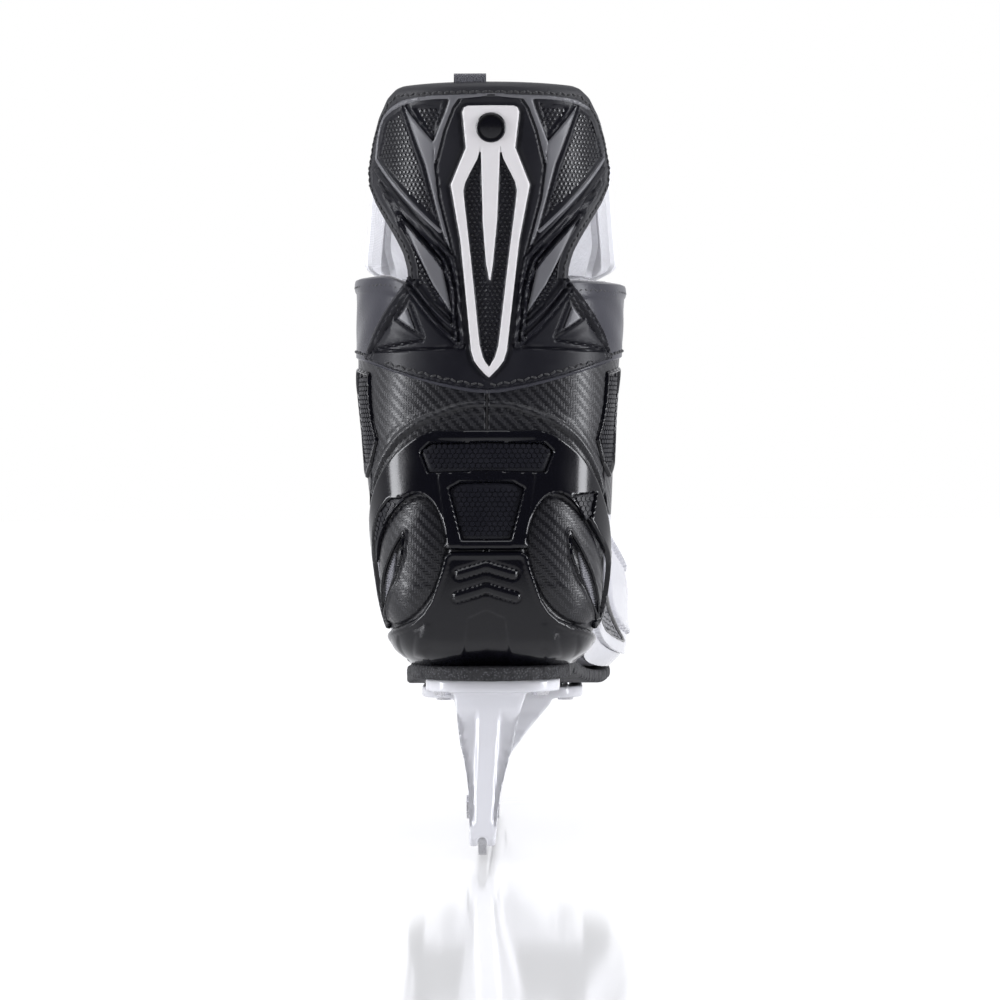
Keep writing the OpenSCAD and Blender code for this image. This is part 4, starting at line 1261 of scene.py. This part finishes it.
# ---- Heel: counter, cage, cap ------------------------------------------------------------------
ARCH = [(0, 165.8), (8, 165.2), (15.8, 162.9), (25, 159.2), (33, 154.2), (40, 147), (46, 138.8), (50, 129)]
CAGE_TOP = [(CENTRE, 156.4), (10.9, 156.3), (21.4, 155.6), (29.2, 151.6), (35.8, 146.4), (42, 139),
    (47.6, 130), (52.5, 119.5), (55.6, 108)]
CAGE_FOOT = [(54.2, 108), (49.6, 112.6), (44.4, 117.4), (38.6, 124), (33.2, 129.4), (28.6, 132.6),
    (23.6, 133.2), (19.2, 130), (16.2, 124), (14.4, 117), (13.7, 113.6), (CENTRE, 113.6)]
UPPER_WINDOW = [(CENTRE, 151.8), (20.6, 151.0), (23.6, 148.2), (20.8, 141.2), (CENTRE, 142.1)]
LOWER_WINDOW = [(CENTRE, 137.4), (9.6, 136.9), (12.9, 134.9), (8.4, 117.4), (CENTRE, 117.3)]
OVAL = [(14.6, 113.0), (15.0, 119), (17.4, 126.5), (21, 131.2), (25.2, 132.0), (31, 129.4), (37.5, 123.5),
    (44.2, 115.5), (50, 106), (53, 97), (52, 89.5), (44, 86.4), (34, 86.6), (27, 89.8), (21.5, 95.5),
    (17.2, 103.5)]
SLOT = [(30.4, 119.4), (34.5, 113.5), (39.8, 104.5), (44.4, 94.2), (46.0, 88.6), (40.5, 94.0), (34.0, 104.0),
    (31.2, 111.5)]
WEDGE = [(34.2, 113.8), (39.2, 105.2), (44.2, 95.2), (45.2, 90.6), (41.5, 94.6), (36.4, 103.6)]
CAP_TOP = [(CENTRE, 112.8), (12.6, 112.8), (14.9, 111.2), (16.2, 106), (17.9, 101), (20.0, 95.2),
    (22.6, 91.4), (26, 88.6), (31, 86.6), (38, 85.0), (46, 83.2), (54, 81.6), (58.5, 80.2), (60, 77),
    (58, 70.5), (CENTRE, 70.5)]
CHEVRONS = [
    ([(0, 107.6), (9.4, 104.8)], 1.5),
    ([(0, 100.0), (10.2, 97.0)], 1.6),
]
HEX_PATCH = [(30.2, 131.9), (36.4, 131.2), (41.6, 127.0), (46.4, 119.0), (50.2, 109.5), (49.6, 108.5),
    (44.2, 117.0), (38.4, 124.4), (33.4, 129.4)]
CORNER_PATCH = [(31.6, 132.4), (41.8, 133.4), (39.6, 124.4), (37.6, 123.8)]
ANKLE_PANEL = [(50.4, 176.6), (63.5, 178.4), (68.5, 170), (66, 156), (61, 144.5),
    (54.2, 140.4), (48.6, 144.6),
    (44.6, 153.2), (47.6, 160.2), (49.2, 167)]


def cage_shape(s, z):
    a = np.abs(s)
    body = inside_distance(a, z, [*curve(CAGE_TOP, 4), *curve(CAGE_FOOT, 4)])
    windows = np.minimum(inside_distance(a, z, UPPER_WINDOW, 0.3), inside_distance(a, z, LOWER_WINDOW, 0.3))
    corner = np.where(s > 0, inside_distance(a, z, CORNER_PATCH), 9.0)
    patch = np.where(s > 0, 9.0, inside_distance(a, z, HEX_PATCH))
    arm_line = curve([(54.6, 112), (56.2, 103), (55.8, 94), (53.2, 87.4), (47.6, 85.2)], 5)
    arm = line_distance(a, z, arm_line) - 0.9
    return np.minimum(np.maximum.reduce([body, -windows, -corner, -patch]), arm)


def cage_height(s, z):
    a = np.abs(s)
    seam = groove(np.abs(s), 0.55, 0.35)
    bars = ridge(z - 154.2, 1.7, 0.35) * smooth((20 - a) / 4)
    waist = -0.5 * smooth((a - 24) / 8)
    legs = ridge(line_distance(a, z, [(14.8, 139), (11.6, 116)]), 2.6, 0.45)
    foot = ridge(z - 115.2, 1.3, 0.35) * smooth((14 - a) / 2)
    return seam + bars + waist * 0.5 + legs + foot


def counter_height(s, z, u, angle, *_):
    """Relief of the counter: back seam, arch, side ovals and ankle panel."""
    a = np.abs(s)
    height = groove(a, 0.8, 0.9) * (z > 100) + ridge(a - 1.5, 0.9, 0.25) * (z > 100)
    arch = line_distance(a, z, curve(ARCH, 5))
    height = height + ridge(arch, 1.5, 1.15) + ridge(arch - 2.6, 1.2, 0.25)
    inner = inside_distance(a, z, [(CENTRE, 165.8), *ARCH, (50, 100), (CENTRE, 100)])
    height = height - 0.35 * smooth(-inner / 1.5)
    oval = inside_distance(a, z, curve([*OVAL, OVAL[0]], 3)[:-1])
    height = height + 1.5 * np.sqrt(smooth(-oval / 9)) + groove(np.abs(oval - 0.7), 0.9, 0.6)
    slot = inside_distance(a, z, SLOT)
    height = height - 1.6 * smooth(-slot / 0.9) + ridge(np.abs(slot - 0.8), 0.9, 0.4)
    panel_edge = inside_distance(a, z, ANKLE_PANEL)
    height = height - 0.5 * smooth(-panel_edge / 1.2)
    return height


def counter_place(side):
    def place(a, b):
        angle = mix(0.02, 149.0, b)
        low = np.where(angle < 20, lookup(angle, SOLE_U) + 0.02, lookup(angle, BORDER) + 0.01)
        top = u_at_z(seam_z(angle), angle, steps=16) - 0.03
        u = mix(low, np.maximum(top, low + 0.3), a)
        return u, side * np.minimum(angle, lookup(low, THROAT))
    return place


def cap_shape(s, z):
    return inside_distance(np.abs(s), z, CAP_TOP)


def cap_height(s, z):
    a = np.abs(s)
    seam = groove(a, 0.5, 0.3)
    height = seam
    for points, half in CHEVRONS:
        d = line_distance(a, z, points)
        height = height + ridge(d, half, 0.7) + groove(np.abs(d - half - 0.4), 0.6, 0.2)
    third = inside_distance(a, z, [(CENTRE, 92.6), (0, 92.6), (7.0, 89.8), (9.4, 72), (CENTRE, 70)])
    height = height - 0.55 * smooth(-third / 0.8)
    lobe = inside_distance(a, z, [(18.4, 87.6), (21.6, 88.2), (25.4, 84), (27.4, 76), (21, 74.5), (19.2, 81)])
    height = height + 0.7 * np.sqrt(smooth(-lobe / 3.0))
    outer = inside_distance(a, z, [(33, 83.4), (54, 79.6), (52, 75), (34, 75)])
    height = height + 0.5 * np.sqrt(smooth(-outer / 3.0))
    collar = ridge(inside_distance(a, z, CAP_TOP) + 1.2, 1.2, 0.45)
    return height + collar + ridge(z - 72.6, 0.9, 0.6)


def build_heel():
    twill = twill_black()
    for name, side in (("lateral", 1), ("medial", -1)):
        shell = panel("counter_shell_" + name, counter_place(side), 230, 300, -SHELL, -0.3, twill, 0.5,
            counter_height, edges=(1, 1, 0, 1))
        settle(shell, "boot", "counter_" + name, slot="counter_twill")
    gloss = gloss_black("cage_black", 0.13)
    cage = plate("heel_cage_gloss", cage_shape, (-58, 84, 58, 157), 0.5, -0.6, 1.9, gloss, 0.9, cage_height)
    settle(cage, "boot", "heel_cage", slot="cage_gloss")
    cap = plate("heel_cap_gloss", cap_shape, (-61, 70.5, 61, 114), 0.5, -0.6, 2.0,
        gloss_black("cap_black", 0.17),
        1.2, cap_height)
    settle(cap, "boot", "heel_cap", slot="cage_gloss")

    def windows(s, z):
        a = np.abs(s)
        patch = np.where(s > 0, 9.0, inside_distance(a, z, HEX_PATCH))
        corner = np.where(s > 0, inside_distance(a, z, CORNER_PATCH), 9.0)
        return np.minimum.reduce([inside_distance(a, z, UPPER_WINDOW), inside_distance(a, z, LOWER_WINDOW),
            patch, corner])

    satin = satin_black("window_black", 0.4)
    floor = plate("heel_window_floor", windows, (-52, 107, 44, 153), 0.8, -0.6, 0.75, satin, 0.3)
    settle(floor, "boot", slot="cage_gloss")
    cells = studs("heel_window_cells", lattice(windows, (-52, 107, 44, 153), 2.0, 0.7), 0.6, 0.45, 1.06, 6,
        satin_black("cell_black", 0.34), ((1, 0), (0.84, 1.0), (0.5, 1.02)))
    settle(cells, "boot", slot="cage_gloss")

    def ankle(s, z):
        return inside_distance(np.abs(s), z, ANKLE_PANEL)

    hexes = studs("ankle_panel_cells", lattice(ankle, (-70, 139, 70, 180), 1.9, 0.9), -1.0, 0.75, 0.98, 6,
        satin_black("ankle_cell_black", 0.38), ((1, 0), (0.84, 1.0), (0.5, 1.02)))
    settle(hexes, "boot", slot="counter_twill")
    rim = plate("ankle_panel_rim", lambda s, z: np.abs(ankle(s, z) - 0.5) - 0.85, (-71, 138, 71, 180.5), 0.5,
        -0.8, 0.75, gloss_black("rim_black", 0.12), 0.7)
    settle(rim, "boot", slot="cage_gloss")

    def wedge(s, z):
        return inside_distance(np.abs(s), z, WEDGE)

    def stripes(s, z):
        lean = z - np.abs(s) * 0.18
        return 0.28 * np.sin(lean * math.tau / 0.95)

    mesh = plate("heel_vent_stripes", wedge, (-47, 89, 47, 115), 0.24, -1.4, 0.2,
        painted_grey("vent_grey", (0.22, 0.22, 0.24)), 0.3, stripes)
    settle(mesh, "boot", slot="inlay_white")
    lips = plate("heel_vent_lips", lambda s, z: np.abs(inside_distance(np.abs(s), z, SLOT) - 0.35) - 0.5,
        (-48, 86, 48, 121), 0.4, -0.8, 1.9, gloss, 0.5)
    settle(lips, "boot", slot="cage_gloss")


# ---- Collar and front ---------------------------------------------------------------------------
def lift_collar(piece):
    """The collar's rim dips at the back and front and is highest on the inside of the foot."""
    mesh = piece.data
    co = vertex_values(mesh)
    x, y, z = co[:, 0] / MM, co[:, 1] / MM, co[:, 2] / MM
    rise = np.where(x < 0, 4.2, 1.8) * smooth((np.abs(x) - 22) / 14) * smooth((-36 - y) / 26)
    co[:, 2] += MM * rise * smooth((z - 186) / 20)
    move_vertices(mesh, co)


def build_cuffs():
    leather = grained_black("collar_leather", (0.026, 0.026, 0.035), 0.3)
    thread = thread_black("collar_thread")

    for name, side in (("lateral", 1), ("medial", -1)):
        def place(a, b, side=side):
            angle = mix(0.02, 140, b)
            top = COLLAR_Z - 0.4 + 2 * smooth((angle - 100) / 40)
            z = mix(seam_z(angle) - 1.2, top, a)
            return u_at_z(z, angle), side * angle

        def soft(s, z, u, angle, a, b):
            fold = 0.35 * np.sin(a * 9 + b * 14) * np.sin(b * 23 + a * 4) * pillow(a, b, 0.3)
            roll = 0.7 * ridge(a - 0.90, 0.10, 1.0)
            return fold * 0.6 + roll

        cuff = panel("collar_panel_" + name, place, 44, 120, -SHELL, 0.45, leather, 0.7, soft,
            edges=(1, 1, 0, 1))
        lift_collar(cuff)
        settle(cuff, "boot", "cuff_" + name, slot="collar_synthetic")

        angles = np.linspace(34, 138, 90)
        tops = COLLAR_Z - 3.6 + 2 * smooth((angles - 100) / 40)
        line, out = surface_line(np.stack([u_at_z(tops, angles), side * angles], -1), 1.0)
        rim_thread = stitches("collar_top_stitches_" + name, line, out, thread, 2.5, 2.3, 0.42, 20)
        lift_collar(rim_thread)
        settle(rim_thread, "boot", slot="collar_synthetic")
        angles = np.linspace(0.5, 138, 140)
        lows = seam_z(angles) + 1.6
        lift = np.where(angles < 45, 2.35, 0.75)
        places = np.stack([u_at_z(lows, angles), side * angles], -1)
        line = skin(places[:, 0], places[:, 1], lift)
        out = last_normal(places[:, 0], places[:, 1])
        settle(stitches("collar_seam_stitches_" + name, line, out, thread, 2.5, 2.2, 0.42, 20), "boot",
            slot="collar_synthetic")


def build_lining():
    felt = fleece("liner_fleece", (0.052, 0.052, 0.060))
    roll_felt = fleece("collar_fleece", (0.060, 0.058, 0.070), 0.8)
    low = -SHELL - 1.1 - 2.4
    for name, side in (("lateral", 1), ("medial", -1)):
        def place(a, b, side=side):
            angle = mix(3, 126, b)
            edge = lookup(angle, [[0, 13.1], [20, 12.4], [40, 11.3], [56, 4.6]])
            top = u_at_z(COLLAR_Z - 1.5, angle)
            return mix(edge, top, a), side * angle

        liner = panel("liner_" + name, place, 60, 60, low, low + 2.4, felt, 0.8,
            lambda s, z, u, angle, a, b: 0.5 * pillow(a, b, 0.2))
        settle(liner, "boot", "lining_" + name, slot="liner_grey")

        def rim(a, b, side=side):
            angle = mix(4, 136, b)
            top = COLLAR_Z + 2 * smooth((angle - 100) / 40)
            return u_at_z(top - 5.2 + a * 5.6, angle), side * angle

        roll = panel("collar_roll_" + name, rim, 6, 60, lambda a, b: -6.2 - 1.0 * np.sin(math.pi * a),
            lambda a, b: -0.9 + 0.7 * np.sin(math.pi * a), roll_felt, 1.2)
        puff(roll, 1.3, 1.0, 0.8, 4)
        lift_collar(roll)
        settle(roll, "boot", slot="liner_grey")

        def bone(a, b, side=side):
            angle = mix(24, 112, b)
            z = mix(np.maximum(120, last_point(9.3, angle)[..., 2]), 202, a)
            return u_at_z(z, angle), side * angle

        base = -SHELL - 2.75 - 2.4
        pad = panel("ankle_foam_" + name, bone, 30, 30, lambda a, b: base - 1.0 - 4.6 * pillow(a, b, 0.4),
            base + 0.1, felt, 0.5)
        puff(pad, 2.6, 1.5, 1.0)
        settle(pad, "boot", "ankle_pad_" + name, slot="liner_grey")


def build_tongue():
    """White padded tongue, which bends at the top crossing of the lace."""
    cloth = fabric("tongue_white", (0.74, 0.74, 0.77), 22.0, 0.62, 0.00004, 0.3)
    # Painted light: a faint emission lights the white tongue from within, standing in for light that passes
    # through its padding.
    painted_glow = cloth.node_tree.nodes["Principled BSDF"]
    painted_glow.inputs["Emission Color"].default_value = (0.95, 0.95, 1.0, 1)
    painted_glow.inputs["Emission Strength"].default_value = 0.12
    spread = [[4.4, 12], [6, 30], [9, 40], [12, 47], [16, 50]]
    upper_tip = 266.0

    def place(a, b):
        v = 2 * b - 1
        meet = 0.62
        front = 180 - np.abs(v) * 50
        top = u_at_z(np.full(a.shape, FLEX_Z), front)
        u_low = mix(4.45, top, np.clip(a / meet, 0, 1))
        wide = mix(64, 79, smooth((a - meet) / (1 - meet) * 5))
        angle_low = v * lookup(u_low, spread) * (1 + 0.28 * smooth((a / meet - 0.78) / 0.22))
        angle_high = v * wide
        tip = upper_tip - 9 * np.abs(v) ** 3
        z = mix(FLEX_Z, tip, np.clip((a - meet) / (1 - meet), 0, 1))
        u_high = u_at_z(z, 180 - np.abs(angle_high))
        u = np.where(a <= meet, u_low, u_high)
        return u, 180 + np.where(a <= meet, angle_low, angle_high)

    def quilt(s, z, u, angle, a, b):
        channels = -0.9 * np.exp(-((np.abs(2 * b - 1) - 0.46) / 0.035) ** 2)
        across = -0.6 * np.exp(-((a - 0.93) / 0.012) ** 2)
        return 1.2 * pillow(a, b, 0.12) + channels + across - 0.8

    def flare(a, b):
        above = (a - 0.62) / 0.38
        tuck = 3.0 * smooth((a / 0.62 - 0.72) / 0.26) * (1 - smooth(above * 6))
        return (4.6 * smooth(above * 5) - tuck) * (2 * b - 1) ** 4

    tongue = panel("tongue_padded", place, 120, 60, lambda a, b: -8.0 + flare(a, b),
        lambda a, b: -4.2 + flare(a, b), cloth, 1.4, quilt)
    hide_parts("tongue_lower", "tongue_upper")
    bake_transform(tongue)

    def back(a, b):
        angle = 180 + (2 * b - 1) * 70
        z = mix(FLEX_Z + 3, upper_tip - 9 * np.abs(2 * b - 1) ** 3 - 4, a)
        return u_at_z(z, np.minimum(angle, 360 - angle)), angle

    def spread_back(a, b):
        return 3.5 * smooth(a * 2.5) * (2 * b - 1) ** 4

    felt = panel("tongue_felt_back", back, 30, 40, lambda a, b: -11.8 + spread_back(a, b),
        lambda a, b: -8.4 + spread_back(a, b), fleece("tongue_felt", (0.66, 0.66, 0.69)), 1.0)
    settle(felt, "tongue", "tongue_felt", slot="felt_grey")

    def label(a, b):
        angle = 180 + (2 * b - 1) * 26
        return u_at_z(mix(228, 254, a), np.minimum(angle, 360 - angle)), angle

    patch = panel("tongue_patch", label, 26, 30, -4.2, -2.7,
        fabric("label_black", (0.03, 0.03, 0.035), 11.0), 0.5)
    settle(patch, "tongue", "tongue_label", slot="label_black")
    turn = np.linspace(0, 1, 25)
    square = [(0.08, t) for t in turn] + [(t, 0.92) for t in turn] + [(0.92, t) for t in turn[::-1]]
    square += [(t, 0.08) for t in turn[::-1]]
    square = np.array([(a, min(max(b, 0.08), 0.92)) for a, b in square])
    u, angle = label(square[:, 0], square[:, 1])
    line = skin(u, angle, np.full(len(u), -2.65))
    thread = stitches("tongue_patch_stitches", line, last_normal(u, angle), thread_black("patch_thread"),
        1.9, 1.4, 0.28, 0)
    settle(thread, "tongue", slot="label_black")


VAMP_STEP = 150
SIDE_U = 11.0        # millimetres for one step along the last, near the middle of the foot
SIDE_ANGLE = 0.82    # millimetres for one degree round it
SWEEPS = [
    [(50, 48), (78, 54), (104, 74), (118, 98), (121, 118)],
    [(50, 66), (74, 71), (96, 90), (106, 112)],
    [(50, 84), (68, 88), (86, 102), (94, 117)],
    [(52, 30), (84, 33), (112, 50), (130, 74)],
]
SIDE_VENT = [(64, 61.5), (78, 63), (93, 72), (103, 86), (95, 82.5), (84, 76), (73, 68.5)]
TOE_MARK = [(50, 52), (60, 55.5), (53, 62)]


def vamp_relief(s, z, u, angle, a, b):
    """Layered mouldings that sweep back and up over the quarter, each with a step under it."""
    x, y = u * SIDE_U, np.abs(angle) * SIDE_ANGLE
    height = np.zeros(np.shape(u))
    for points in SWEEPS:
        line = curve(points, 6)
        d = line_distance(x, y, line)
        over = np.interp(x, line[:, 0], line[:, 1])
        fade = smooth((x - line[0, 0] + 4) / 12)
        step = np.where(y > over, np.exp(-d / 9.0), 0)
        height = height + fade * (1.7 * step + groove(d, 0.8, 0.7))
    vent = inside_distance(x, y, SIDE_VENT)
    mark = inside_distance(x, y, TOE_MARK)
    return height - 1.2 * smooth(-vent / 1.2) - 0.6 * smooth(-mark / 0.8)


def quarter_inserts(name, side):
    """Mesh vent and small grey mark, let into the white quarter."""
    def on_side(x, y):
        return np.asarray(x) / SIDE_U, side * np.asarray(y) / SIDE_ANGLE

    def vent(x, y):
        return inside_distance(x, y, SIDE_VENT)

    def mark(x, y):
        return inside_distance(x, y, TOE_MARK)

    box = (62, 60, 105, 88)
    floor = plate("side_vent_" + name, vent, box, 0.7, -1.6, -0.2, satin_black("vent_black_" + name, 0.5),
        0.3, locate=on_side)
    settle(floor, "boot", slot="cage_gloss")
    cells = studs("side_vent_cells_" + name, lattice(vent, box, 2.1, 0.9), -0.35, 0.5, 1.1, 6,
        painted_grey("vent_cell_grey_" + name, (0.10, 0.10, 0.11)),
        ((1, 0), (0.84, 1.0), (0.5, 1.02)), on_side)
    settle(cells, "boot", slot="cage_gloss")
    rim = plate("side_vent_rim_" + name, lambda x, y: np.abs(vent(x, y) - 0.6) - 0.9, (60, 58, 107, 90), 0.5,
        -0.6, 0.9, gloss_black("vent_rim_" + name, 0.14), 0.7, locate=on_side)
    settle(rim, "boot", slot="cage_gloss")
    wedge = plate("toe_mark_" + name, mark, (49, 51, 61, 63), 0.5, -1.0, 0.5,
        painted_grey("mark_grey_" + name, (0.16, 0.16, 0.17)), 0.4, locate=on_side)
    settle(wedge, "boot", slot="inlay_white")


def build_front():
    white = white_plastic("quarter_white", (0.50, 0.50, 0.54), 0.2)
    for name, side in (("lateral", 1), ("medial", -1)):
        def place(a, b, side=side):
            base = mix(20.0, 149.0, b)
            edge = np.maximum(lookup(base, BORDER) - 0.03, toe_edge(base) + 0.4)
            u0 = mix(toe_edge(base) + 0.03, edge, a)
            angle = base + np.maximum(lookup(u0, SOLE_EDGE) - 20, 0) * (1 - b) ** 4
            angle = angle + (np.maximum(lookup(u0, THROAT), 149) - 149) * b ** 5
            u = mix(toe_edge(angle) + 0.03, edge, a)
            return u, side * np.minimum(angle, lookup(u, THROAT))

        quarter = panel("quarter_" + name, place, VAMP_STEP, 170, -SHELL, -0.2, white, 0.9, vamp_relief)
        settle(quarter, "boot", "vamp_" + name, slot="quarter_white")
        quarter_inserts(name, side)

        def stay(a, b, side=side):
            u = mix(4.75, 15.6, a)
            return u, side * mix(lookup(u, THROAT) - 18, lookup(u, THROAT), b)

        strip = panel("eyestay_leather_" + name, stay, 140, 14, 0.0, 1.35,
            grained_black("eyestay_" + name), 0.5)
        settle(strip, "boot", "eyestay_" + name, slot="eyestay_black")
        u = np.linspace(4.9, 15.4, 160)
        for tag, inset in (("outer", 16.2), ("inner", 1.8)):
            line, out = surface_line(np.stack([u, side * (lookup(u, THROAT) - inset)], -1), 1.5)
            thread = stitches(f"eyestay_stitches_{tag}_{name}", line, out,
                thread_black("stay_thread_" + tag + name), 2.2, 1.7, 0.32, 0)
            settle(thread, "boot", slot="eyestay_black")
        build_eyelets(name, side)

    def toe(a, b):
        edge = mix(-1.5, 28, smooth((a - 0.52) * 2.6))
        angle = mix(edge, 360 - edge, b)
        return mix(0.02, toe_edge(angle), a), angle

    def toe_relief(s, z, u, angle, a, b):
        lip = ridge(a - 0.93, 0.05, 0.8)
        chevron = ridge(np.abs(a - 0.55 - 0.12 * np.cos(np.radians(angle))), 0.035, 0.7)
        return lip + chevron * smooth((a - 0.2) / 0.2)

    cap = panel("toe_cap_gloss", toe, 90, 220, -SHELL, 0.9, gloss_black("toe_black", 0.2), 0.9, toe_relief,
        edges=(0, 1, 0, 0))
    settle(cap, "boot", "toe_cap", slot="toe_black")


EYELETS = 10


def eyelet_angle(u):
    return lookup(u, THROAT) - 9


def eyelet_places():
    u = np.linspace(5.05, 15.1, 41)
    row = last_point(u, eyelet_angle(u))
    run = np.concatenate([[0], np.cumsum(np.linalg.norm(np.diff(row, axis=0), axis=1))])
    return np.interp(np.linspace(0, run[-1], EYELETS), run, u)


def ring_points(centre, out, profile, sides):
    """Rings of a turned shape about a direction: profile is (radius, rise)."""
    across = np.cross(out, [0.31, 0.2, 0.93])
    across /= np.linalg.norm(across)
    upward = np.cross(out, across)
    turn = np.arange(sides) * math.tau / sides
    return np.array([[centre + out * rise + radius * (across * math.cos(a) + upward * math.sin(a))
        for a in turn] for radius, rise in profile]).reshape(-1, 3)


def build_eyelets(name, side):
    """Rolled steel eyelets."""
    profile = [(4.3, 1.35), (4.4, 1.7), (4.1, 2.15), (3.5, 2.45), (2.9, 2.35), (2.45, 1.9), (2.3, 1.2),
        (2.3, -2.4), (2.7, -2.9)]
    sides = 28
    points, faces = [], []
    for u in eyelet_places():
        angle = side * eyelet_angle(u)
        centre = last_point(u, angle)
        out = last_normal(u, angle)
        base = len(points)
        points.extend(ring_points(centre, out, profile, sides))
        faces.extend(ring_faces(len(profile), sides, base))
    rings = make_piece("eyelet_rings_" + name, points, faces, bright_steel("eyelet_steel_" + name), crease=50)
    settle(rings, "boot", "eyelets_" + name, slot="eyelet_steel")


def lace_dip(u):
    """How far a crossing dips below its own section to run level."""
    front = last_point(u, 180)[..., 2]
    row = last_point(u, eyelet_angle(u))[..., 2] + 3
    return u - u_at_z(mix(front, row, smooth((u - 7) / 3)), 180, 5.0, 16.0)


def build_lace():
    """Flat woven lace in crossings, held by the eyelets all the way."""
    lace = fabric("lace_black", (0.022, 0.022, 0.026), 9.0, 0.8, 0.0004)
    row = eyelet_places()
    lace_w, lace_t = 7.0, 1.1
    long_steps, cross_steps = 60, 8
    bottoms, tops, flats = [], [], []
    for i in range(EYELETS - 1):
        for side in (-1, 1):
            u0, u1 = row[i], row[i + 1]
            a0, a1 = eyelet_angle(u0), eyelet_angle(u1)
            halfway = (u0 + u1) / 2
            pitch = np.linalg.norm(last_point(halfway + 0.5, 180) - last_point(halfway - 0.5, 180))
            half = lace_w * 0.36 / pitch
            level = lace_dip(halfway)
            rise = lace_t + 0.2 if side > 0 else 0.0
            a, b = np.meshgrid(np.linspace(-0.035, 1.035, long_steps + 1), np.linspace(0, 1, cross_steps + 1),
                indexing="ij")
            c = np.clip(a, 0, 1)
            u = mix(u0, u1, smooth(a)) - level * np.sin(math.pi * c) + half * (2 * b - 1)
            angle = side * mix(a0, 360 - a1, a)
            near = np.minimum(c, 1 - c)
            depth = mix(3.3, -3.3, smooth((near - 0.17) / 0.14)) + rise
            tuck = smooth((0.02 - np.minimum(a, 1 - a)) / 0.05)
            depth = depth - 4.2 * tuck - rise * tuck
            swell = 0.5 * np.sqrt(np.clip(1 - (2 * b - 1) ** 4, 0, 1))
            wave = 0.06 * np.sin(a * 240 + b * 9)
            bottoms.append(skin(u, angle, depth + 0.55 - swell * 0.9))
            tops.append(skin(u, angle, depth + 0.55 + swell + wave))
            flats.append(np.stack([a * 90, b * 7], -1))
    pieces = []
    for k, (low, high, flat) in enumerate(zip(bottoms, tops, flats)):
        pieces.append(grid_solid(f"lace_run_{k}", low, high, lace, flat, 60))
    joined = join("lace_woven", pieces)
    settle(joined, "boot", "lace", slot="lace_black")


def join(name, pieces):
    """One mesh from several pieces of the same material."""
    points, faces, flats = [], [], []
    material = pieces[0].data.materials[0]
    for piece in pieces:
        base = len(points)
        mesh = piece.data
        co = np.zeros(len(mesh.vertices) * 3)
        mesh.vertices.foreach_get("co", co)
        points.extend((co.reshape(-1, 3) / MM).tolist())
        uv = np.zeros((len(mesh.vertices), 2))
        layer = mesh.uv_layers["flat"]
        for loop, corner in zip(mesh.loops, layer.data):
            uv[loop.vertex_index] = corner.uv
        flats.append(uv * 10)
        faces.extend([tuple(base + v for v in f.vertices) for f in mesh.polygons])
        bpy.data.objects.remove(piece)
    return make_piece(name, points, faces, material, np.concatenate(flats), 60)


# ---- Holder, runner and sole ---------------------------------------------------------------------
def build_chassis():
    """Moulded holder, riveted sole stack and ground runner."""
    plastic = white_plastic("holder_plastic", (0.70, 0.70, 0.735), 0.2)
    holder = soften("holder", "holder_moulding", 0.85, 5, plastic)
    carve_tower(holder)
    sole = soften("outsole", "outsole_moulding", 1.1, 3, granular())
    lift_top(sole, 1.3)
    bed = soften("footbed", "footbed_moulding", 1.3, 3, fleece("footbed_fabric", (0.05, 0.05, 0.058)))
    dress("runner", ground_steel())
    dress("insole_board", board_brown())
    dress("toe_lining", fleece("toe_fleece", (0.06, 0.06, 0.07)))
    steel = bright_steel("rivet_steel")
    for node in ("runner_bolts", "runner_nuts", "rivets_front", "rivets_rear", "rivet_washers"):
        dress(node, steel)


def lift_top(piece, rise):
    """Raises a plate's upper face, which melting its edges has lowered."""
    mesh = piece.data
    co = vertex_values(mesh)
    normal = vertex_values(mesh, "normal")
    co[:, 2] += rise * MM * smooth((normal[:, 2] + 0.1) / 0.5)
    move_vertices(mesh, co)


REAR_POCKET = [(-117, 53), (-76, 53), (-75, 40), (-80, 32), (-112, 31), (-121, 40)]
FRONT_POCKET = [(44, 45), (118, 45), (128, 38), (132, 30), (62, 30), (46, 36)]


def carve_tower(holder):
    """Flat column up the back of the rear tower, and shallow pockets in the holder's sides."""
    mesh = holder.data
    co = vertex_values(mesh) / MM
    normal = vertex_values(mesh, "normal")
    x, y, z = co.T
    middle = np.interp(z, [5, 25, 60], [0, 0.9, 2.8])
    column = np.interp(z, [8, 60], [2.7, 3.6])
    off = smooth((np.abs(x - middle) - column) / 0.9)
    rear = smooth((-normal[:, 1] - 0.35) / 0.3) * (y < -112)
    span = smooth((z - 11) / 5) * smooth((56 - z) / 6)
    co[:, 1] += 2.0 * off * rear * span
    pocket = np.minimum(inside_distance(y, z, REAR_POCKET), inside_distance(y, z, FRONT_POCKET))
    sideways = smooth((np.abs(normal[:, 0]) - 0.3) / 0.3) * np.sign(normal[:, 0])
    co[:, 0] -= 1.3 * smooth(-pocket / 2.0) * sideways
    co[:, 0] -= 0.7 * np.exp(-((z - 23.5) / 0.9) ** 2) * sideways * (np.abs(y) < 118)
    move_vertices(mesh, co * MM)


place_camera()
light_studio()
lay_floor()
build_guard()
build_binding()
build_guard_padding()
build_loop()
build_heel()
build_cuffs()
build_lining()
build_tongue()
build_front()
build_lace()
build_chassis()
